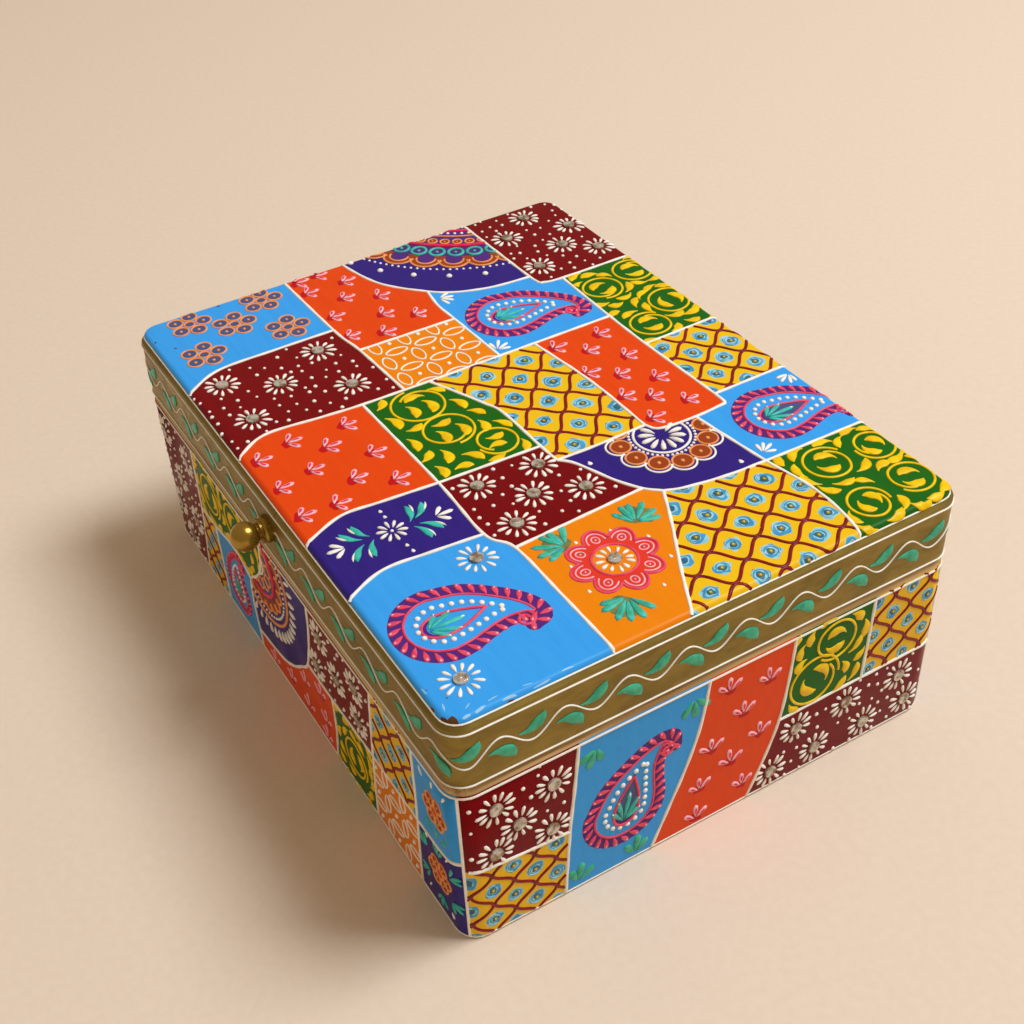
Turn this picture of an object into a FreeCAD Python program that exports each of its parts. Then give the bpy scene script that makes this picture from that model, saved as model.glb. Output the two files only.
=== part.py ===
import FreeCAD, Part
import math
import os

# A hinged wooden keepsake box: a base of rebated boards, and a lid bound with a folded brass band.
# Lengths are in millimetres. The origin is the middle of the underside. X runs along the front
# towards its right end, Y from the front to the hinged back, and Z up.

Vec = FreeCAD.Vector
RIGHT = Vec(1, 0, 0)
BACK = Vec(0, 1, 0)
UP = Vec(0, 0, 1)

# Box
BOX_LENGTH = 305.0
BOX_WIDTH = 232.0
CORNER_RADIUS = 9.5
BOARD_THICKNESS = 12.0
CORNER_REBATE = 6.0

# Base
BASE_HEIGHT = 86.8
RIM_ROUND = 3.5
BOTTOM_ROUND = 2.0
FLOOR_THICKNESS = 6.0
FLOOR_REBATE = 6.0

# Lid
LID_SEAT_GAP = 0.6
RAIL_HEIGHT = 26.5
BAND_HEIGHT = 28.7
BAND_THICKNESS = 0.6
BAND_SHOULDER = 1.2
BAND_SEAM_GAP = 0.3
BAND_SEAM_OFFSET = 11.0
TOP_BOARD_THICKNESS = 6.1
TOP_BOARD_ROUND = 2.2
TOP_BOARD_ROUND_LIMIT_SHARE = 0.95

# Brads, cut square and without heads
BRAD_SIDES = 4
BRAD_RADIUS = 0.95
BRAD_LENGTH = 20.0
BRAD_SET_DEPTH = 1.5
CORNER_BRAD_SET_DEPTH = 2.6
TOP_BRAD_INSET = 8.5
BASE_CORNER_BRAD_SHARES = (0.2, 0.5, 0.8)
LID_CORNER_BRAD_SHARES = (0.3, 0.7)
LONG_SIDE_BRAD_SHARES = (-0.8, -0.27, 0.27, 0.8)
SHORT_SIDE_BRAD_SHARES = (-0.6, 0.0, 0.6)

# Knob, turned in one piece, with its screw and washer
KNOB_RISE = 2.0
KNOB_BALL_RADIUS = 6.2
KNOB_NECK_RADIUS = 3.6
KNOB_NECK_LENGTH = 0.9
KNOB_COLLAR_RADIUS = 6.1
KNOB_COLLAR_HEIGHT = 4.4
KNOB_BEAD_RADIUS = 5.5
KNOB_BEAD_WIDTH = 0.9
KNOB_GROOVE_DEPTH = 0.4
KNOB_GROOVE_WIDTH = 0.6
KNOB_SCREW_RADIUS = 2.0
KNOB_SCREW_GRIP = 7.0
KNOB_SCREW_HEAD_RADIUS = 3.6
KNOB_SCREW_HEAD_HEIGHT = 2.2
KNOB_WASHER_RADIUS = 5.0
KNOB_WASHER_THICKNESS = 0.8

# Hinges on the back, with their screws
HINGE_SPACING = 170.0
HINGE_LENGTH = 30.0
HINGE_LEAF_HEIGHT = 14.0
HINGE_LEAF_THICKNESS = 1.0
HINGE_LEAF_CORNER = 2.0
HINGE_KNUCKLE_RADIUS = 2.2
HINGE_KNUCKLE_GAP = 0.3
HINGE_STANDOFF = 0.3
HINGE_PIN_RADIUS = 1.1
HINGE_PIN_HEAD_RADIUS = 1.7
HINGE_PIN_HEAD_THICKNESS = 0.7
HINGE_SCREW_SPACING = 19.0
HINGE_SCREW_DROP = 8.6
HINGE_SCREW_RADIUS = 0.95
HINGE_SCREW_LENGTH = 9.0
HINGE_SCREW_HEAD_RADIUS = 2.0
HINGE_SCREW_HEAD_HEIGHT = 0.9

# Mirror chips, cut by hand with many short sides. Places on the lid are shares of its half length
# and half width, places on a long wall are shares of the half length and the base's height, and
# places on an end wall are shares of the half width and the base's height.
MIRROR_SIDES = 12
MIRROR_RADIUS = 2.9
MIRROR_THICKNESS = 1.0
LID_MIRROR_SHARES = (
    (-0.91, 0.79), (-0.68, 0.80), (-0.78, 0.92), (-0.60, 0.92), (-0.82, 0.63), (-0.60, 0.62),
    (-0.55, -0.45), (-0.33, -0.44), (-0.45, -0.67), (-0.54, -0.86), (-0.33, -0.85),
    (0.45, -0.05), (0.30, -0.12), (0.40, -0.22), (0.29, -0.36), (0.48, -0.35),
    (0.73, -0.18), (0.54, -0.55), (0.88, -0.86),
)
FRONT_MIRROR_SHARES = (
    (-0.90, 0.80), (-0.72, 0.78), (-0.83, 0.55), (-0.90, 0.30), (-0.75, 0.33), (-0.84, 0.11),
    (0.26, 0.83), (0.47, 0.82), (0.35, 0.69), (0.21, 0.58), (0.47, 0.60),
)
RIGHT_MIRROR_SHARES = (
    (-0.86, 0.81), (-0.65, 0.79), (-0.78, 0.65), (-0.87, 0.53), (-0.66, 0.51),
    (0.35, 0.33), (0.58, 0.335), (0.83, 0.33), (0.25, 0.11), (0.45, 0.12), (0.68, 0.12), (0.88, 0.13),
)
BACK_MIRROR_SHARES = (
    (-0.90, 0.36), (-0.74, 0.37), (-0.82, 0.13),
    (0.27, 0.84), (0.44, 0.69), (0.28, 0.58), (0.60, 0.60),
)
LEFT_MIRROR_SHARES = ((-0.42, 0.80), (-0.15, 0.79), (-0.29, 0.55), (-0.41, 0.29), (-0.14, 0.28))

# Fits and cuts
WOOD_FIT = 0.05
RUNNING_FIT = 0.05
CUT_OVERRUN = 5.0
TOLERANCE = 0.001

# Levels and faces worked out from the sizes above
HALF_LENGTH = BOX_LENGTH / 2
HALF_WIDTH = BOX_WIDTH / 2
LID_BOTTOM = BASE_HEIGHT + LID_SEAT_GAP
RAIL_TOP = LID_BOTTOM + RAIL_HEIGHT
SHOULDER_TOP = LID_BOTTOM + BAND_HEIGHT + BAND_SHOULDER
LID_TOP = RAIL_TOP + TOP_BOARD_THICKNESS
PANEL_INSET = BAND_THICKNESS + BAND_SHOULDER
INNER_HALF_LENGTH = HALF_LENGTH - BOARD_THICKNESS
INNER_HALF_WIDTH = HALF_WIDTH - BOARD_THICKNESS
KNOB_LEVEL = LID_BOTTOM + RAIL_HEIGHT / 2 + KNOB_RISE
HINGE_AXIS_Y = HALF_WIDTH + HINGE_KNUCKLE_RADIUS + HINGE_STANDOFF
HINGE_AXIS_Z = BASE_HEIGHT + LID_SEAT_GAP / 2


def block(low, high):
    """Box between two opposite corners."""
    return Part.makeBox(high.x - low.x, high.y - low.y, high.z - low.z, low)


def centred_block(half_x, half_y, bottom, top):
    """Box centred on the Z axis."""
    return block(Vec(-half_x, -half_y, bottom), Vec(half_x, half_y, top))


def slab(inset, bottom, top):
    """Prism of the box's outline with rounded upright corners, drawn in by an inset."""
    prism = centred_block(HALF_LENGTH - inset, HALF_WIDTH - inset, bottom, top)
    upright = [edge for edge in prism.Edges if edge.BoundBox.ZLength > TOLERANCE]
    return prism.makeFillet(CORNER_RADIUS - inset, upright)


def edges_at(solid, level):
    """Level edges of a solid that lie at one height."""
    flat = [edge for edge in solid.Edges if edge.BoundBox.ZLength < TOLERANCE]
    return [edge for edge in flat if abs(edge.BoundBox.Center.z - level) < TOLERANCE]


def cylinder(start, direction, radius, length):
    """Cylinder that starts at a point and runs along a direction."""
    return Part.makeCylinder(radius, length, start, direction)


def prism(start, direction, sides, radius, length):
    """Regular prism that starts at a point and runs along a direction, its corners on a radius."""
    circle = Part.Circle(start, direction, radius)
    corners = [circle.value(2 * math.pi * n / sides) for n in range(sides)]
    return Part.Face(Part.makePolygon(corners + corners[:1])).extrude(direction * length)


def turned(outline, start, direction):
    """Solid of revolution from edges drawn as (radius, height), stood at a point."""
    face = Part.Face(Part.Wire(outline))
    solid = face.revolve(Vec(0, 0, 0), UP, 360)
    turn = FreeCAD.Rotation(UP, direction)
    solid.Placement = FreeCAD.Placement(start, turn)
    return solid


def line(start, end):
    """Straight edge of a turned outline between two (radius, height) points."""
    return Part.LineSegment(Vec(start[0], 0, start[1]), Vec(end[0], 0, end[1])).toShape()


def arc(start, middle, end):
    """Round edge of a turned outline through three (radius, height) points."""
    points = [Vec(radius, 0, height) for radius, height in (start, middle, end)]
    return Part.Arc(*points).toShape()


def path(points):
    """Straight edges of a turned outline from point to point."""
    return [line(start, end) for start, end in zip(points, points[1:])]


def cut_all(solid, tools):
    """Solid with each tool cut away."""
    for tool in tools:
        solid = solid.cut(tool)
    return solid


def long_wall_zone(side):
    """Space of the front board (side -1) or back board (side 1), with a rebate at each end."""
    zone = block(
        Vec(-HALF_LENGTH - CUT_OVERRUN, INNER_HALF_WIDTH, -CUT_OVERRUN),
        Vec(HALF_LENGTH + CUT_OVERRUN, HALF_WIDTH + CUT_OVERRUN, LID_TOP + CUT_OVERRUN),
    )
    rebate = block(
        Vec(INNER_HALF_LENGTH, INNER_HALF_WIDTH - CUT_OVERRUN, -CUT_OVERRUN),
        Vec(HALF_LENGTH + CUT_OVERRUN, INNER_HALF_WIDTH + CORNER_REBATE, LID_TOP + CUT_OVERRUN),
    )
    zone = zone.cut(rebate).cut(rebate.mirror(Vec(0, 0, 0), RIGHT))
    if side < 0:
        zone = zone.mirror(Vec(0, 0, 0), BACK)
    return zone


def four_boards(ring):
    """Front, back, left and right boards of a rectangular ring of wood."""
    front_zone = long_wall_zone(-1)
    back_zone = long_wall_zone(1)
    ends = ring.cut(front_zone).cut(back_zone).Solids
    left, right = sorted(ends, key=lambda board: board.CenterOfMass.x)
    return ring.common(front_zone), ring.common(back_zone), left, right


def brad(start, direction, play):
    """Square brad that runs from its start along a direction, grown by a play all round."""
    first = start - direction * play
    return prism(first, direction, BRAD_SIDES, BRAD_RADIUS + play, BRAD_LENGTH + 2 * play)


def corner_brads(levels, play):
    """Brads through the long boards into the end boards at all four corners."""
    x = HALF_LENGTH - BOARD_THICKNESS / 2
    y = HALF_WIDTH - CORNER_BRAD_SET_DEPTH
    corners = [(side_x, side_y) for side_x in (-1, 1) for side_y in (-1, 1)]
    return [
        brad(Vec(side_x * x, side_y * y, level), BACK * -side_y, play)
        for side_x, side_y in corners
        for level in levels
    ]


def rim_places(inset):
    """Places of upright brads along the four walls, at an inset from the outside."""
    places = []
    for side in (-1, 1):
        places += [(share * HALF_LENGTH, side * (HALF_WIDTH - inset)) for share in LONG_SIDE_BRAD_SHARES]
        places += [(side * (HALF_LENGTH - inset), share * HALF_WIDTH) for share in SHORT_SIDE_BRAD_SHARES]
    return places


def floor_brads(play):
    """Brads up through the floor's edge into the walls."""
    inset = BOARD_THICKNESS - FLOOR_REBATE / 2
    return [brad(Vec(x, y, BRAD_SET_DEPTH), UP, play) for x, y in rim_places(inset)]


def top_brads(play):
    """Brads down through the top board into the rails."""
    return [brad(Vec(x, y, LID_TOP - BRAD_SET_DEPTH), UP * -1, play) for x, y in rim_places(TOP_BRAD_INSET)]


def hinge_screw(x, side, play):
    """Round-headed screw through a leaf into the wood, in the base (side -1) or the lid (side 1)."""
    seat = Vec(x, HALF_WIDTH + HINGE_LEAF_THICKNESS, HINGE_AXIS_Z + side * HINGE_SCREW_DROP)
    radius = HINGE_SCREW_RADIUS + play
    if play:
        depth = CUT_OVERRUN + HINGE_SCREW_LENGTH + play
        return cylinder(seat + BACK * CUT_OVERRUN, BACK * -1, radius, depth)
    half_head = HINGE_SCREW_HEAD_RADIUS / 2
    rise = HINGE_SCREW_HEAD_HEIGHT
    dome_radius = (HINGE_SCREW_HEAD_RADIUS ** 2 + rise ** 2) / (2 * rise)
    half_way_up = rise - dome_radius + math.sqrt(dome_radius ** 2 - half_head ** 2)
    outline = path([
        (0, rise), (0, -HINGE_SCREW_LENGTH), (radius, -HINGE_SCREW_LENGTH),
        (radius, 0), (HINGE_SCREW_HEAD_RADIUS, 0),
    ])
    outline.append(arc((HINGE_SCREW_HEAD_RADIUS, 0), (half_head, half_way_up), (0, rise)))
    return turned(outline, seat, BACK)


def hinge_screws(side, play):
    """The four screws of both hinges' leaves on one side of the seam."""
    places = [
        hinge_side * HINGE_SPACING / 2 + screw_side * HINGE_SCREW_SPACING / 2
        for hinge_side in (-1, 1)
        for screw_side in (-1, 1)
    ]
    return [hinge_screw(x, side, play) for x in places]


def hinge_leaf(middle, side):
    """Leaf with its knuckles: two on a base leaf (side -1), the middle one on a lid leaf (side 1)."""
    low_x = middle - HINGE_LENGTH / 2
    third = HINGE_LENGTH / 3
    spans = [(low_x + third * n, low_x + third * (n + 1)) for n in range(3)]
    own = spans[1::2] if side > 0 else spans[0::2]
    other = spans[0::2] if side > 0 else spans[1::2]
    far = HINGE_AXIS_Z + side * HINGE_LEAF_HEIGHT
    leaf = block(
        Vec(low_x, HALF_WIDTH, min(HINGE_AXIS_Z, far)),
        Vec(low_x + HINGE_LENGTH, HALF_WIDTH + HINGE_LEAF_THICKNESS, max(HINGE_AXIS_Z, far)),
    )
    corners = [
        edge for edge in leaf.Edges
        if edge.BoundBox.YLength > TOLERANCE and abs(edge.BoundBox.Center.z - far) < TOLERANCE
    ]
    leaf = leaf.makeFillet(HINGE_LEAF_CORNER, corners)
    notch_reach = HINGE_KNUCKLE_RADIUS + HINGE_KNUCKLE_GAP
    for start, end in other:
        notch = block(
            Vec(start - HINGE_KNUCKLE_GAP, HALF_WIDTH - CUT_OVERRUN, HINGE_AXIS_Z - notch_reach),
            Vec(end + HINGE_KNUCKLE_GAP, HINGE_AXIS_Y + notch_reach, HINGE_AXIS_Z + notch_reach),
        )
        leaf = leaf.cut(notch)
    for start, end in own:
        knuckle_start = Vec(start + HINGE_KNUCKLE_GAP / 2, HINGE_AXIS_Y, HINGE_AXIS_Z)
        knuckle_length = end - start - HINGE_KNUCKLE_GAP
        leaf = leaf.fuse(cylinder(knuckle_start, RIGHT, HINGE_KNUCKLE_RADIUS, knuckle_length))
    bore_start = Vec(low_x - CUT_OVERRUN, HINGE_AXIS_Y, HINGE_AXIS_Z)
    bore = cylinder(bore_start, RIGHT, HINGE_PIN_RADIUS + RUNNING_FIT, HINGE_LENGTH + 2 * CUT_OVERRUN)
    leaf = leaf.cut(bore).removeSplitter()
    return cut_all(leaf, hinge_screws(side, WOOD_FIT))


def hinge_pin(middle):
    """Pin with a peened head at each end."""
    shank_start = Vec(middle - HINGE_LENGTH / 2, HINGE_AXIS_Y, HINGE_AXIS_Z)
    shank_end = shank_start + RIGHT * HINGE_LENGTH
    pin = cylinder(shank_start, RIGHT, HINGE_PIN_RADIUS, HINGE_LENGTH)
    for start, direction in ((shank_start, RIGHT * -1), (shank_end, RIGHT)):
        pin = pin.fuse(cylinder(start, direction, HINGE_PIN_HEAD_RADIUS, HINGE_PIN_HEAD_THICKNESS))
    return pin.removeSplitter()


def knob():
    """Ball, neck, bead and collar turned from one bar, bored for the screw."""
    bead_start = KNOB_COLLAR_HEIGHT - KNOB_BEAD_WIDTH
    groove_start = bead_start - KNOB_GROOVE_WIDTH
    neck_end = KNOB_COLLAR_HEIGHT + KNOB_NECK_LENGTH
    ball_centre = neck_end + math.sqrt(KNOB_BALL_RADIUS ** 2 - KNOB_NECK_RADIUS ** 2)
    tip = ball_centre + KNOB_BALL_RADIUS
    outline = path([
        (0, tip), (0, 0), (KNOB_COLLAR_RADIUS, 0), (KNOB_COLLAR_RADIUS, groove_start - KNOB_GROOVE_WIDTH),
        (KNOB_BEAD_RADIUS, groove_start), (KNOB_BEAD_RADIUS - KNOB_GROOVE_DEPTH, bead_start),
        (KNOB_BEAD_RADIUS, bead_start), (KNOB_BEAD_RADIUS, KNOB_COLLAR_HEIGHT),
        (KNOB_NECK_RADIUS, KNOB_COLLAR_HEIGHT), (KNOB_NECK_RADIUS, neck_end),
    ])
    outline.append(arc((KNOB_NECK_RADIUS, neck_end), (KNOB_BALL_RADIUS, ball_centre), (0, tip)))
    solid = turned(outline, Vec(0, -HALF_WIDTH, KNOB_LEVEL), BACK * -1)
    return solid.cut(knob_screw_hole())


def knob_screw_hole():
    """Straight hole from inside the lid to the end of the screw's grip in the knob."""
    start = Vec(0, -INNER_HALF_WIDTH + CUT_OVERRUN, KNOB_LEVEL)
    length = BOARD_THICKNESS + CUT_OVERRUN + KNOB_SCREW_GRIP + WOOD_FIT
    return cylinder(start, BACK * -1, KNOB_SCREW_RADIUS + WOOD_FIT, length)


def knob_screw():
    """Screw that holds the knob, with its head against the washer inside the lid."""
    seat = Vec(0, -INNER_HALF_WIDTH + KNOB_WASHER_THICKNESS, KNOB_LEVEL)
    shank_length = KNOB_WASHER_THICKNESS + BOARD_THICKNESS + KNOB_SCREW_GRIP
    head = cylinder(seat, BACK, KNOB_SCREW_HEAD_RADIUS, KNOB_SCREW_HEAD_HEIGHT)
    return head.fuse(cylinder(seat, BACK * -1, KNOB_SCREW_RADIUS, shank_length)).removeSplitter()


def knob_washer():
    """Washer under the head of the knob's screw."""
    seat = Vec(0, -INNER_HALF_WIDTH, KNOB_LEVEL)
    return cylinder(seat, BACK, KNOB_WASHER_RADIUS, KNOB_WASHER_THICKNESS).cut(knob_screw_hole())


def base_boards():
    """The four painted walls with a rounded rim and a softened bottom edge."""
    body = slab(0, 0, BASE_HEIGHT)
    body = body.makeFillet(RIM_ROUND, edges_at(body, BASE_HEIGHT))
    body = body.makeFillet(BOTTOM_ROUND, edges_at(body, 0))
    inside = centred_block(INNER_HALF_LENGTH, INNER_HALF_WIDTH, -CUT_OVERRUN, BASE_HEIGHT + CUT_OVERRUN)
    tools = corner_brads([share * BASE_HEIGHT for share in BASE_CORNER_BRAD_SHARES], WOOD_FIT)
    tools += floor_brads(WOOD_FIT) + hinge_screws(-1, WOOD_FIT)
    return [cut_all(board, tools) for board in four_boards(body.cut(inside).cut(floor_blank()))]


def floor_blank():
    """Floor board before it is drilled."""
    half_x = INNER_HALF_LENGTH + FLOOR_REBATE
    half_y = INNER_HALF_WIDTH + FLOOR_REBATE
    return centred_block(half_x, half_y, 0, FLOOR_THICKNESS)


def lid_core():
    """Wood inside the brass band, chamfered under the band's shoulder."""
    core = slab(BAND_THICKNESS, LID_BOTTOM, SHOULDER_TOP)
    return core.makeChamfer(BAND_SHOULDER, edges_at(core, SHOULDER_TOP))


def lid_rails():
    """The four rails that stand round the lid's hollow."""
    ring = lid_core().common(slab(0, LID_BOTTOM, RAIL_TOP))
    ring = ring.cut(centred_block(INNER_HALF_LENGTH, INNER_HALF_WIDTH, LID_BOTTOM, RAIL_TOP))
    tools = corner_brads([LID_BOTTOM + share * RAIL_HEIGHT for share in LID_CORNER_BRAD_SHARES], WOOD_FIT)
    tools += top_brads(WOOD_FIT) + hinge_screws(1, WOOD_FIT) + [knob_screw_hole()]
    return [cut_all(rail, tools) for rail in four_boards(ring)]


def lid_top_board():
    """Top board: its chamfered foot lies under the brass shoulder, and its upper edge is rounded over."""
    foot = lid_core().common(slab(0, RAIL_TOP, SHOULDER_TOP))
    panel = slab(PANEL_INSET, SHOULDER_TOP, LID_TOP)
    corner_left = CORNER_RADIUS - PANEL_INSET
    room_above = LID_TOP - SHOULDER_TOP
    edge_round = min(TOP_BOARD_ROUND, TOP_BOARD_ROUND_LIMIT_SHARE * min(corner_left, room_above))
    panel = panel.makeFillet(edge_round, edges_at(panel, LID_TOP))
    return cut_all(foot.fuse(panel).removeSplitter(), top_brads(WOOD_FIT))


def lid_brass_band():
    """Brass sheet round the lid with its folded shoulder, open by a hair where its two ends meet."""
    skin = slab(0, LID_BOTTOM, SHOULDER_TOP)
    skin = skin.makeChamfer(BAND_SHOULDER, edges_at(skin, SHOULDER_TOP))
    seam = block(
        Vec(BAND_SEAM_OFFSET - BAND_SEAM_GAP / 2, -HALF_WIDTH - CUT_OVERRUN, LID_BOTTOM - CUT_OVERRUN),
        Vec(BAND_SEAM_OFFSET + BAND_SEAM_GAP / 2, -INNER_HALF_WIDTH, SHOULDER_TOP + CUT_OVERRUN),
    )
    return cut_all(skin.cut(lid_core()), [seam, knob_screw_hole()] + hinge_screws(1, WOOD_FIT))


def mirror_chips(places, direction):
    """Chips standing on a face, each at its place."""
    return [prism(place, direction, MIRROR_SIDES, MIRROR_RADIUS, MIRROR_THICKNESS) for place in places]


def long_wall_mirrors(shares, side):
    """Chips on the front (side -1) or the back (side 1) of the base."""
    places = [Vec(x * HALF_LENGTH, side * HALF_WIDTH, z * BASE_HEIGHT) for x, z in shares]
    return mirror_chips(places, BACK * side)


def end_wall_mirrors(shares, side):
    """Chips on the left end (side -1) or the right end (side 1) of the base."""
    places = [Vec(side * HALF_LENGTH, y * HALF_WIDTH, z * BASE_HEIGHT) for y, z in shares]
    return mirror_chips(places, RIGHT * side)


def lid_mirrors():
    """Chips on the top of the lid."""
    places = [Vec(x * HALF_LENGTH, y * HALF_WIDTH, LID_TOP) for x, y in LID_MIRROR_SHARES]
    return mirror_chips(places, UP)


def all_nodes():
    """Every piece of the box by the name of its node, with groups of like pieces as lists."""
    nodes = {}
    for name, board in zip(("front", "back", "left", "right"), base_boards()):
        nodes["base_%s_board" % name] = board
    nodes["base_floor"] = cut_all(floor_blank(), floor_brads(WOOD_FIT))
    nodes["base_corner_brads"] = corner_brads([share * BASE_HEIGHT for share in BASE_CORNER_BRAD_SHARES], 0)
    nodes["base_floor_brads"] = floor_brads(0)
    nodes["base_front_mirrors"] = long_wall_mirrors(FRONT_MIRROR_SHARES, -1)
    nodes["base_back_mirrors"] = long_wall_mirrors(BACK_MIRROR_SHARES, 1)
    nodes["base_left_mirrors"] = end_wall_mirrors(LEFT_MIRROR_SHARES, -1)
    nodes["base_right_mirrors"] = end_wall_mirrors(RIGHT_MIRROR_SHARES, 1)
    nodes["hinge_base_screws"] = hinge_screws(-1, 0)
    for name, rail in zip(("front", "back", "left", "right"), lid_rails()):
        nodes["lid_%s_rail" % name] = rail
    nodes["lid_top_board"] = lid_top_board()
    nodes["lid_corner_brads"] = corner_brads(
        [LID_BOTTOM + share * RAIL_HEIGHT for share in LID_CORNER_BRAD_SHARES], 0
    )
    nodes["lid_top_brads"] = top_brads(0)
    nodes["lid_brass_band"] = lid_brass_band()
    nodes["lid_mirrors"] = lid_mirrors()
    nodes["hinge_lid_screws"] = hinge_screws(1, 0)
    for name, side in (("left", -1), ("right", 1)):
        middle = side * HINGE_SPACING / 2
        nodes["hinge_base_leaf_" + name] = hinge_leaf(middle, -1)
        nodes["hinge_lid_leaf_" + name] = hinge_leaf(middle, 1)
        nodes["hinge_pin_" + name] = hinge_pin(middle)
    nodes["knob"] = knob()
    nodes["knob_screw"] = knob_screw()
    nodes["knob_washer"] = knob_washer()
    return nodes


os.makedirs("parts", exist_ok=True)
for node_name, piece in all_nodes().items():
    shape = Part.makeCompound(piece) if isinstance(piece, list) else piece
    shape.exportStep(os.path.join("parts", node_name + ".step"))
    print("%-24s solids %2d  volume %10.2f" % (node_name, len(shape.Solids), shape.Volume))
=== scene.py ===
import logging
import math
import random
from dataclasses import dataclass, field
from enum import Enum
from functools import partial

import bpy
import numpy as np
from bpy.types import ID, Material, Mesh, Node, NodeSocket, NodeTree, Object
from mathutils import Matrix, Vector
from mathutils.geometry import delaunay_2d_cdt


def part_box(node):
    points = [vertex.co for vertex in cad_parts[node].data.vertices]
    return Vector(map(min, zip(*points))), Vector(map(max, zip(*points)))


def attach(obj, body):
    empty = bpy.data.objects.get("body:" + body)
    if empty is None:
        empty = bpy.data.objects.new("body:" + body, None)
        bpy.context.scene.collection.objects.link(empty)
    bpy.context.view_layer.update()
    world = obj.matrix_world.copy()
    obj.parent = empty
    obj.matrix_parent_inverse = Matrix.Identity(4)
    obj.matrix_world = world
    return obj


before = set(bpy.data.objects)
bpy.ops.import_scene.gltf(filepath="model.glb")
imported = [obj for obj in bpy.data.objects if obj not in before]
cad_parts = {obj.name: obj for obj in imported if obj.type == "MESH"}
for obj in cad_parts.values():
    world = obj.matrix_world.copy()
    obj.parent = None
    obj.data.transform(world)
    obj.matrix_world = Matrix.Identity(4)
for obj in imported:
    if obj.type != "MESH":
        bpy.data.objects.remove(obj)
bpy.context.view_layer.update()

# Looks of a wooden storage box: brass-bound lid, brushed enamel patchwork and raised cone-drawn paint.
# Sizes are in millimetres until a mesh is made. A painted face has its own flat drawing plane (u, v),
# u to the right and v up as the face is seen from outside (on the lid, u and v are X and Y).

log = logging.getLogger("storage_box")

MM = 0.001
TINY = 1e-6
UP = np.array([0.0, 0.0, 1.0])
ORIGIN = (0.0, 0.0)

Spot = tuple[float, float]
Heading = tuple[float, float, float]


def add_object(name: str, data: ID) -> Object:
    """Put an object in the scene.

    Args:
        name: Name of the object.
        data: Its mesh, light or camera.

    Returns:
        The object.
    """
    made = bpy.data.objects.new(name, data)
    bpy.context.scene.collection.objects.link(made)
    return made


def linear(hex_colour: str) -> tuple[float, float, float, float]:
    """Turn an sRGB colour, written as "#rrggbb", into the opaque linear colour that shaders use."""
    shares = [int(hex_colour[place:place + 2], 16) / 255 for place in (1, 3, 5)]
    return tuple(s / 12.92 if s <= 0.04045 else ((s + 0.055) / 1.055) ** 2.4 for s in shares) + (1.0,)


def feed(tree: NodeTree, node: Node, inputs: dict) -> None:
    """Set the inputs of a node.

    Args:
        tree: Tree that holds the node.
        node: Node to feed.
        inputs: Socket name or number to a value, or to the socket that feeds it.
    """
    for key, value in inputs.items():
        if isinstance(value, NodeSocket):
            tree.links.new(value, node.inputs[key])
        else:
            node.inputs[key].default_value = value


def add_node(tree: NodeTree, kind: str, inputs: dict | None = None,
             **settings: object) -> Node:
    """Add a node to a tree, with its settings and its inputs.

    Args:
        tree: Tree that gets the node.
        kind: Type name of the node.
        inputs: Socket name or number to a value, or to the socket that feeds it.
        settings: Properties of the node.

    Returns:
        The new node.
    """
    node = tree.nodes.new(kind)
    for name, value in settings.items():
        setattr(node, name, value)
    feed(tree, node, inputs or {})
    return node


@dataclass(frozen=True)
class Pattern:
    """Streaks, specks or clouds: their size along X, Y and Z, and the noise where they start and end."""

    size: Heading
    detail: float
    low: float = 0.0
    high: float = 1.0

    def add(self, tree: NodeTree, between: float = 0.0,
            within: float = 1.0) -> NodeSocket:
        """Add the pattern to a material.

        Args:
            tree: Tree of the material.
            between: Value between the marks.
            within: Value in the marks.

        Returns:
            Socket of the value.
        """
        coordinates = add_node(tree, "ShaderNodeTexCoord").outputs["Object"]
        scale = tuple(1 / (length * MM) for length in self.size)
        placed = add_node(tree, "ShaderNodeMapping", {"Vector": coordinates, "Scale": scale}).outputs[0]
        noise = add_node(tree, "ShaderNodeTexNoise", {"Vector": placed, "Scale": 1.0, "Detail": self.detail})
        return add_node(tree, "ShaderNodeMapRange", {
            "Value": noise.outputs[0], "From Min": self.low, "From Max": self.high,
            "To Min": between, "To Max": within,
        }).outputs[0]


def dress(name: str, colour: str, marks: tuple = (), roughness: float = 0.5, dulling: tuple = (),
          relief: tuple = (), metallic: float = 0.0, specular: float = 0.5) -> Material:
    """Make a material from a colour and the patterns on it.

    Args:
        name: Name of the material.
        colour: Its main colour.
        marks: Pattern, colour and strength of each kind of mark.
        roughness: Roughness of its shine.
        dulling: Pattern of duller places, and how much rougher they are.
        relief: Pattern, depth and strength of its fine relief.
        metallic: How metallic it is.
        specular: Strength of its reflections.

    Returns:
        The material.
    """
    material = bpy.data.materials.new(name)
    material.use_nodes = True
    tree = material.node_tree
    inputs = {"Base Color": linear(colour), "Roughness": roughness, "Metallic": metallic,
              "Specular IOR Level": specular}
    for pattern, tint, strength in marks:
        mixed = {0: pattern.add(tree, 0.0, strength), 6: inputs["Base Color"], 7: linear(tint)}
        inputs["Base Color"] = add_node(tree, "ShaderNodeMix", mixed, data_type="RGBA").outputs[2]
    if dulling:
        pattern, rougher = dulling
        inputs["Roughness"] = pattern.add(tree, roughness, roughness + rougher)
    if relief:
        pattern, depth, strength = relief
        height = {"Height": pattern.add(tree), "Distance": depth * MM, "Strength": strength}
        inputs["Normal"] = add_node(tree, "ShaderNodeBump", height).outputs[0]
    feed(tree, tree.nodes["Principled BSDF"], inputs)
    return material


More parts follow.
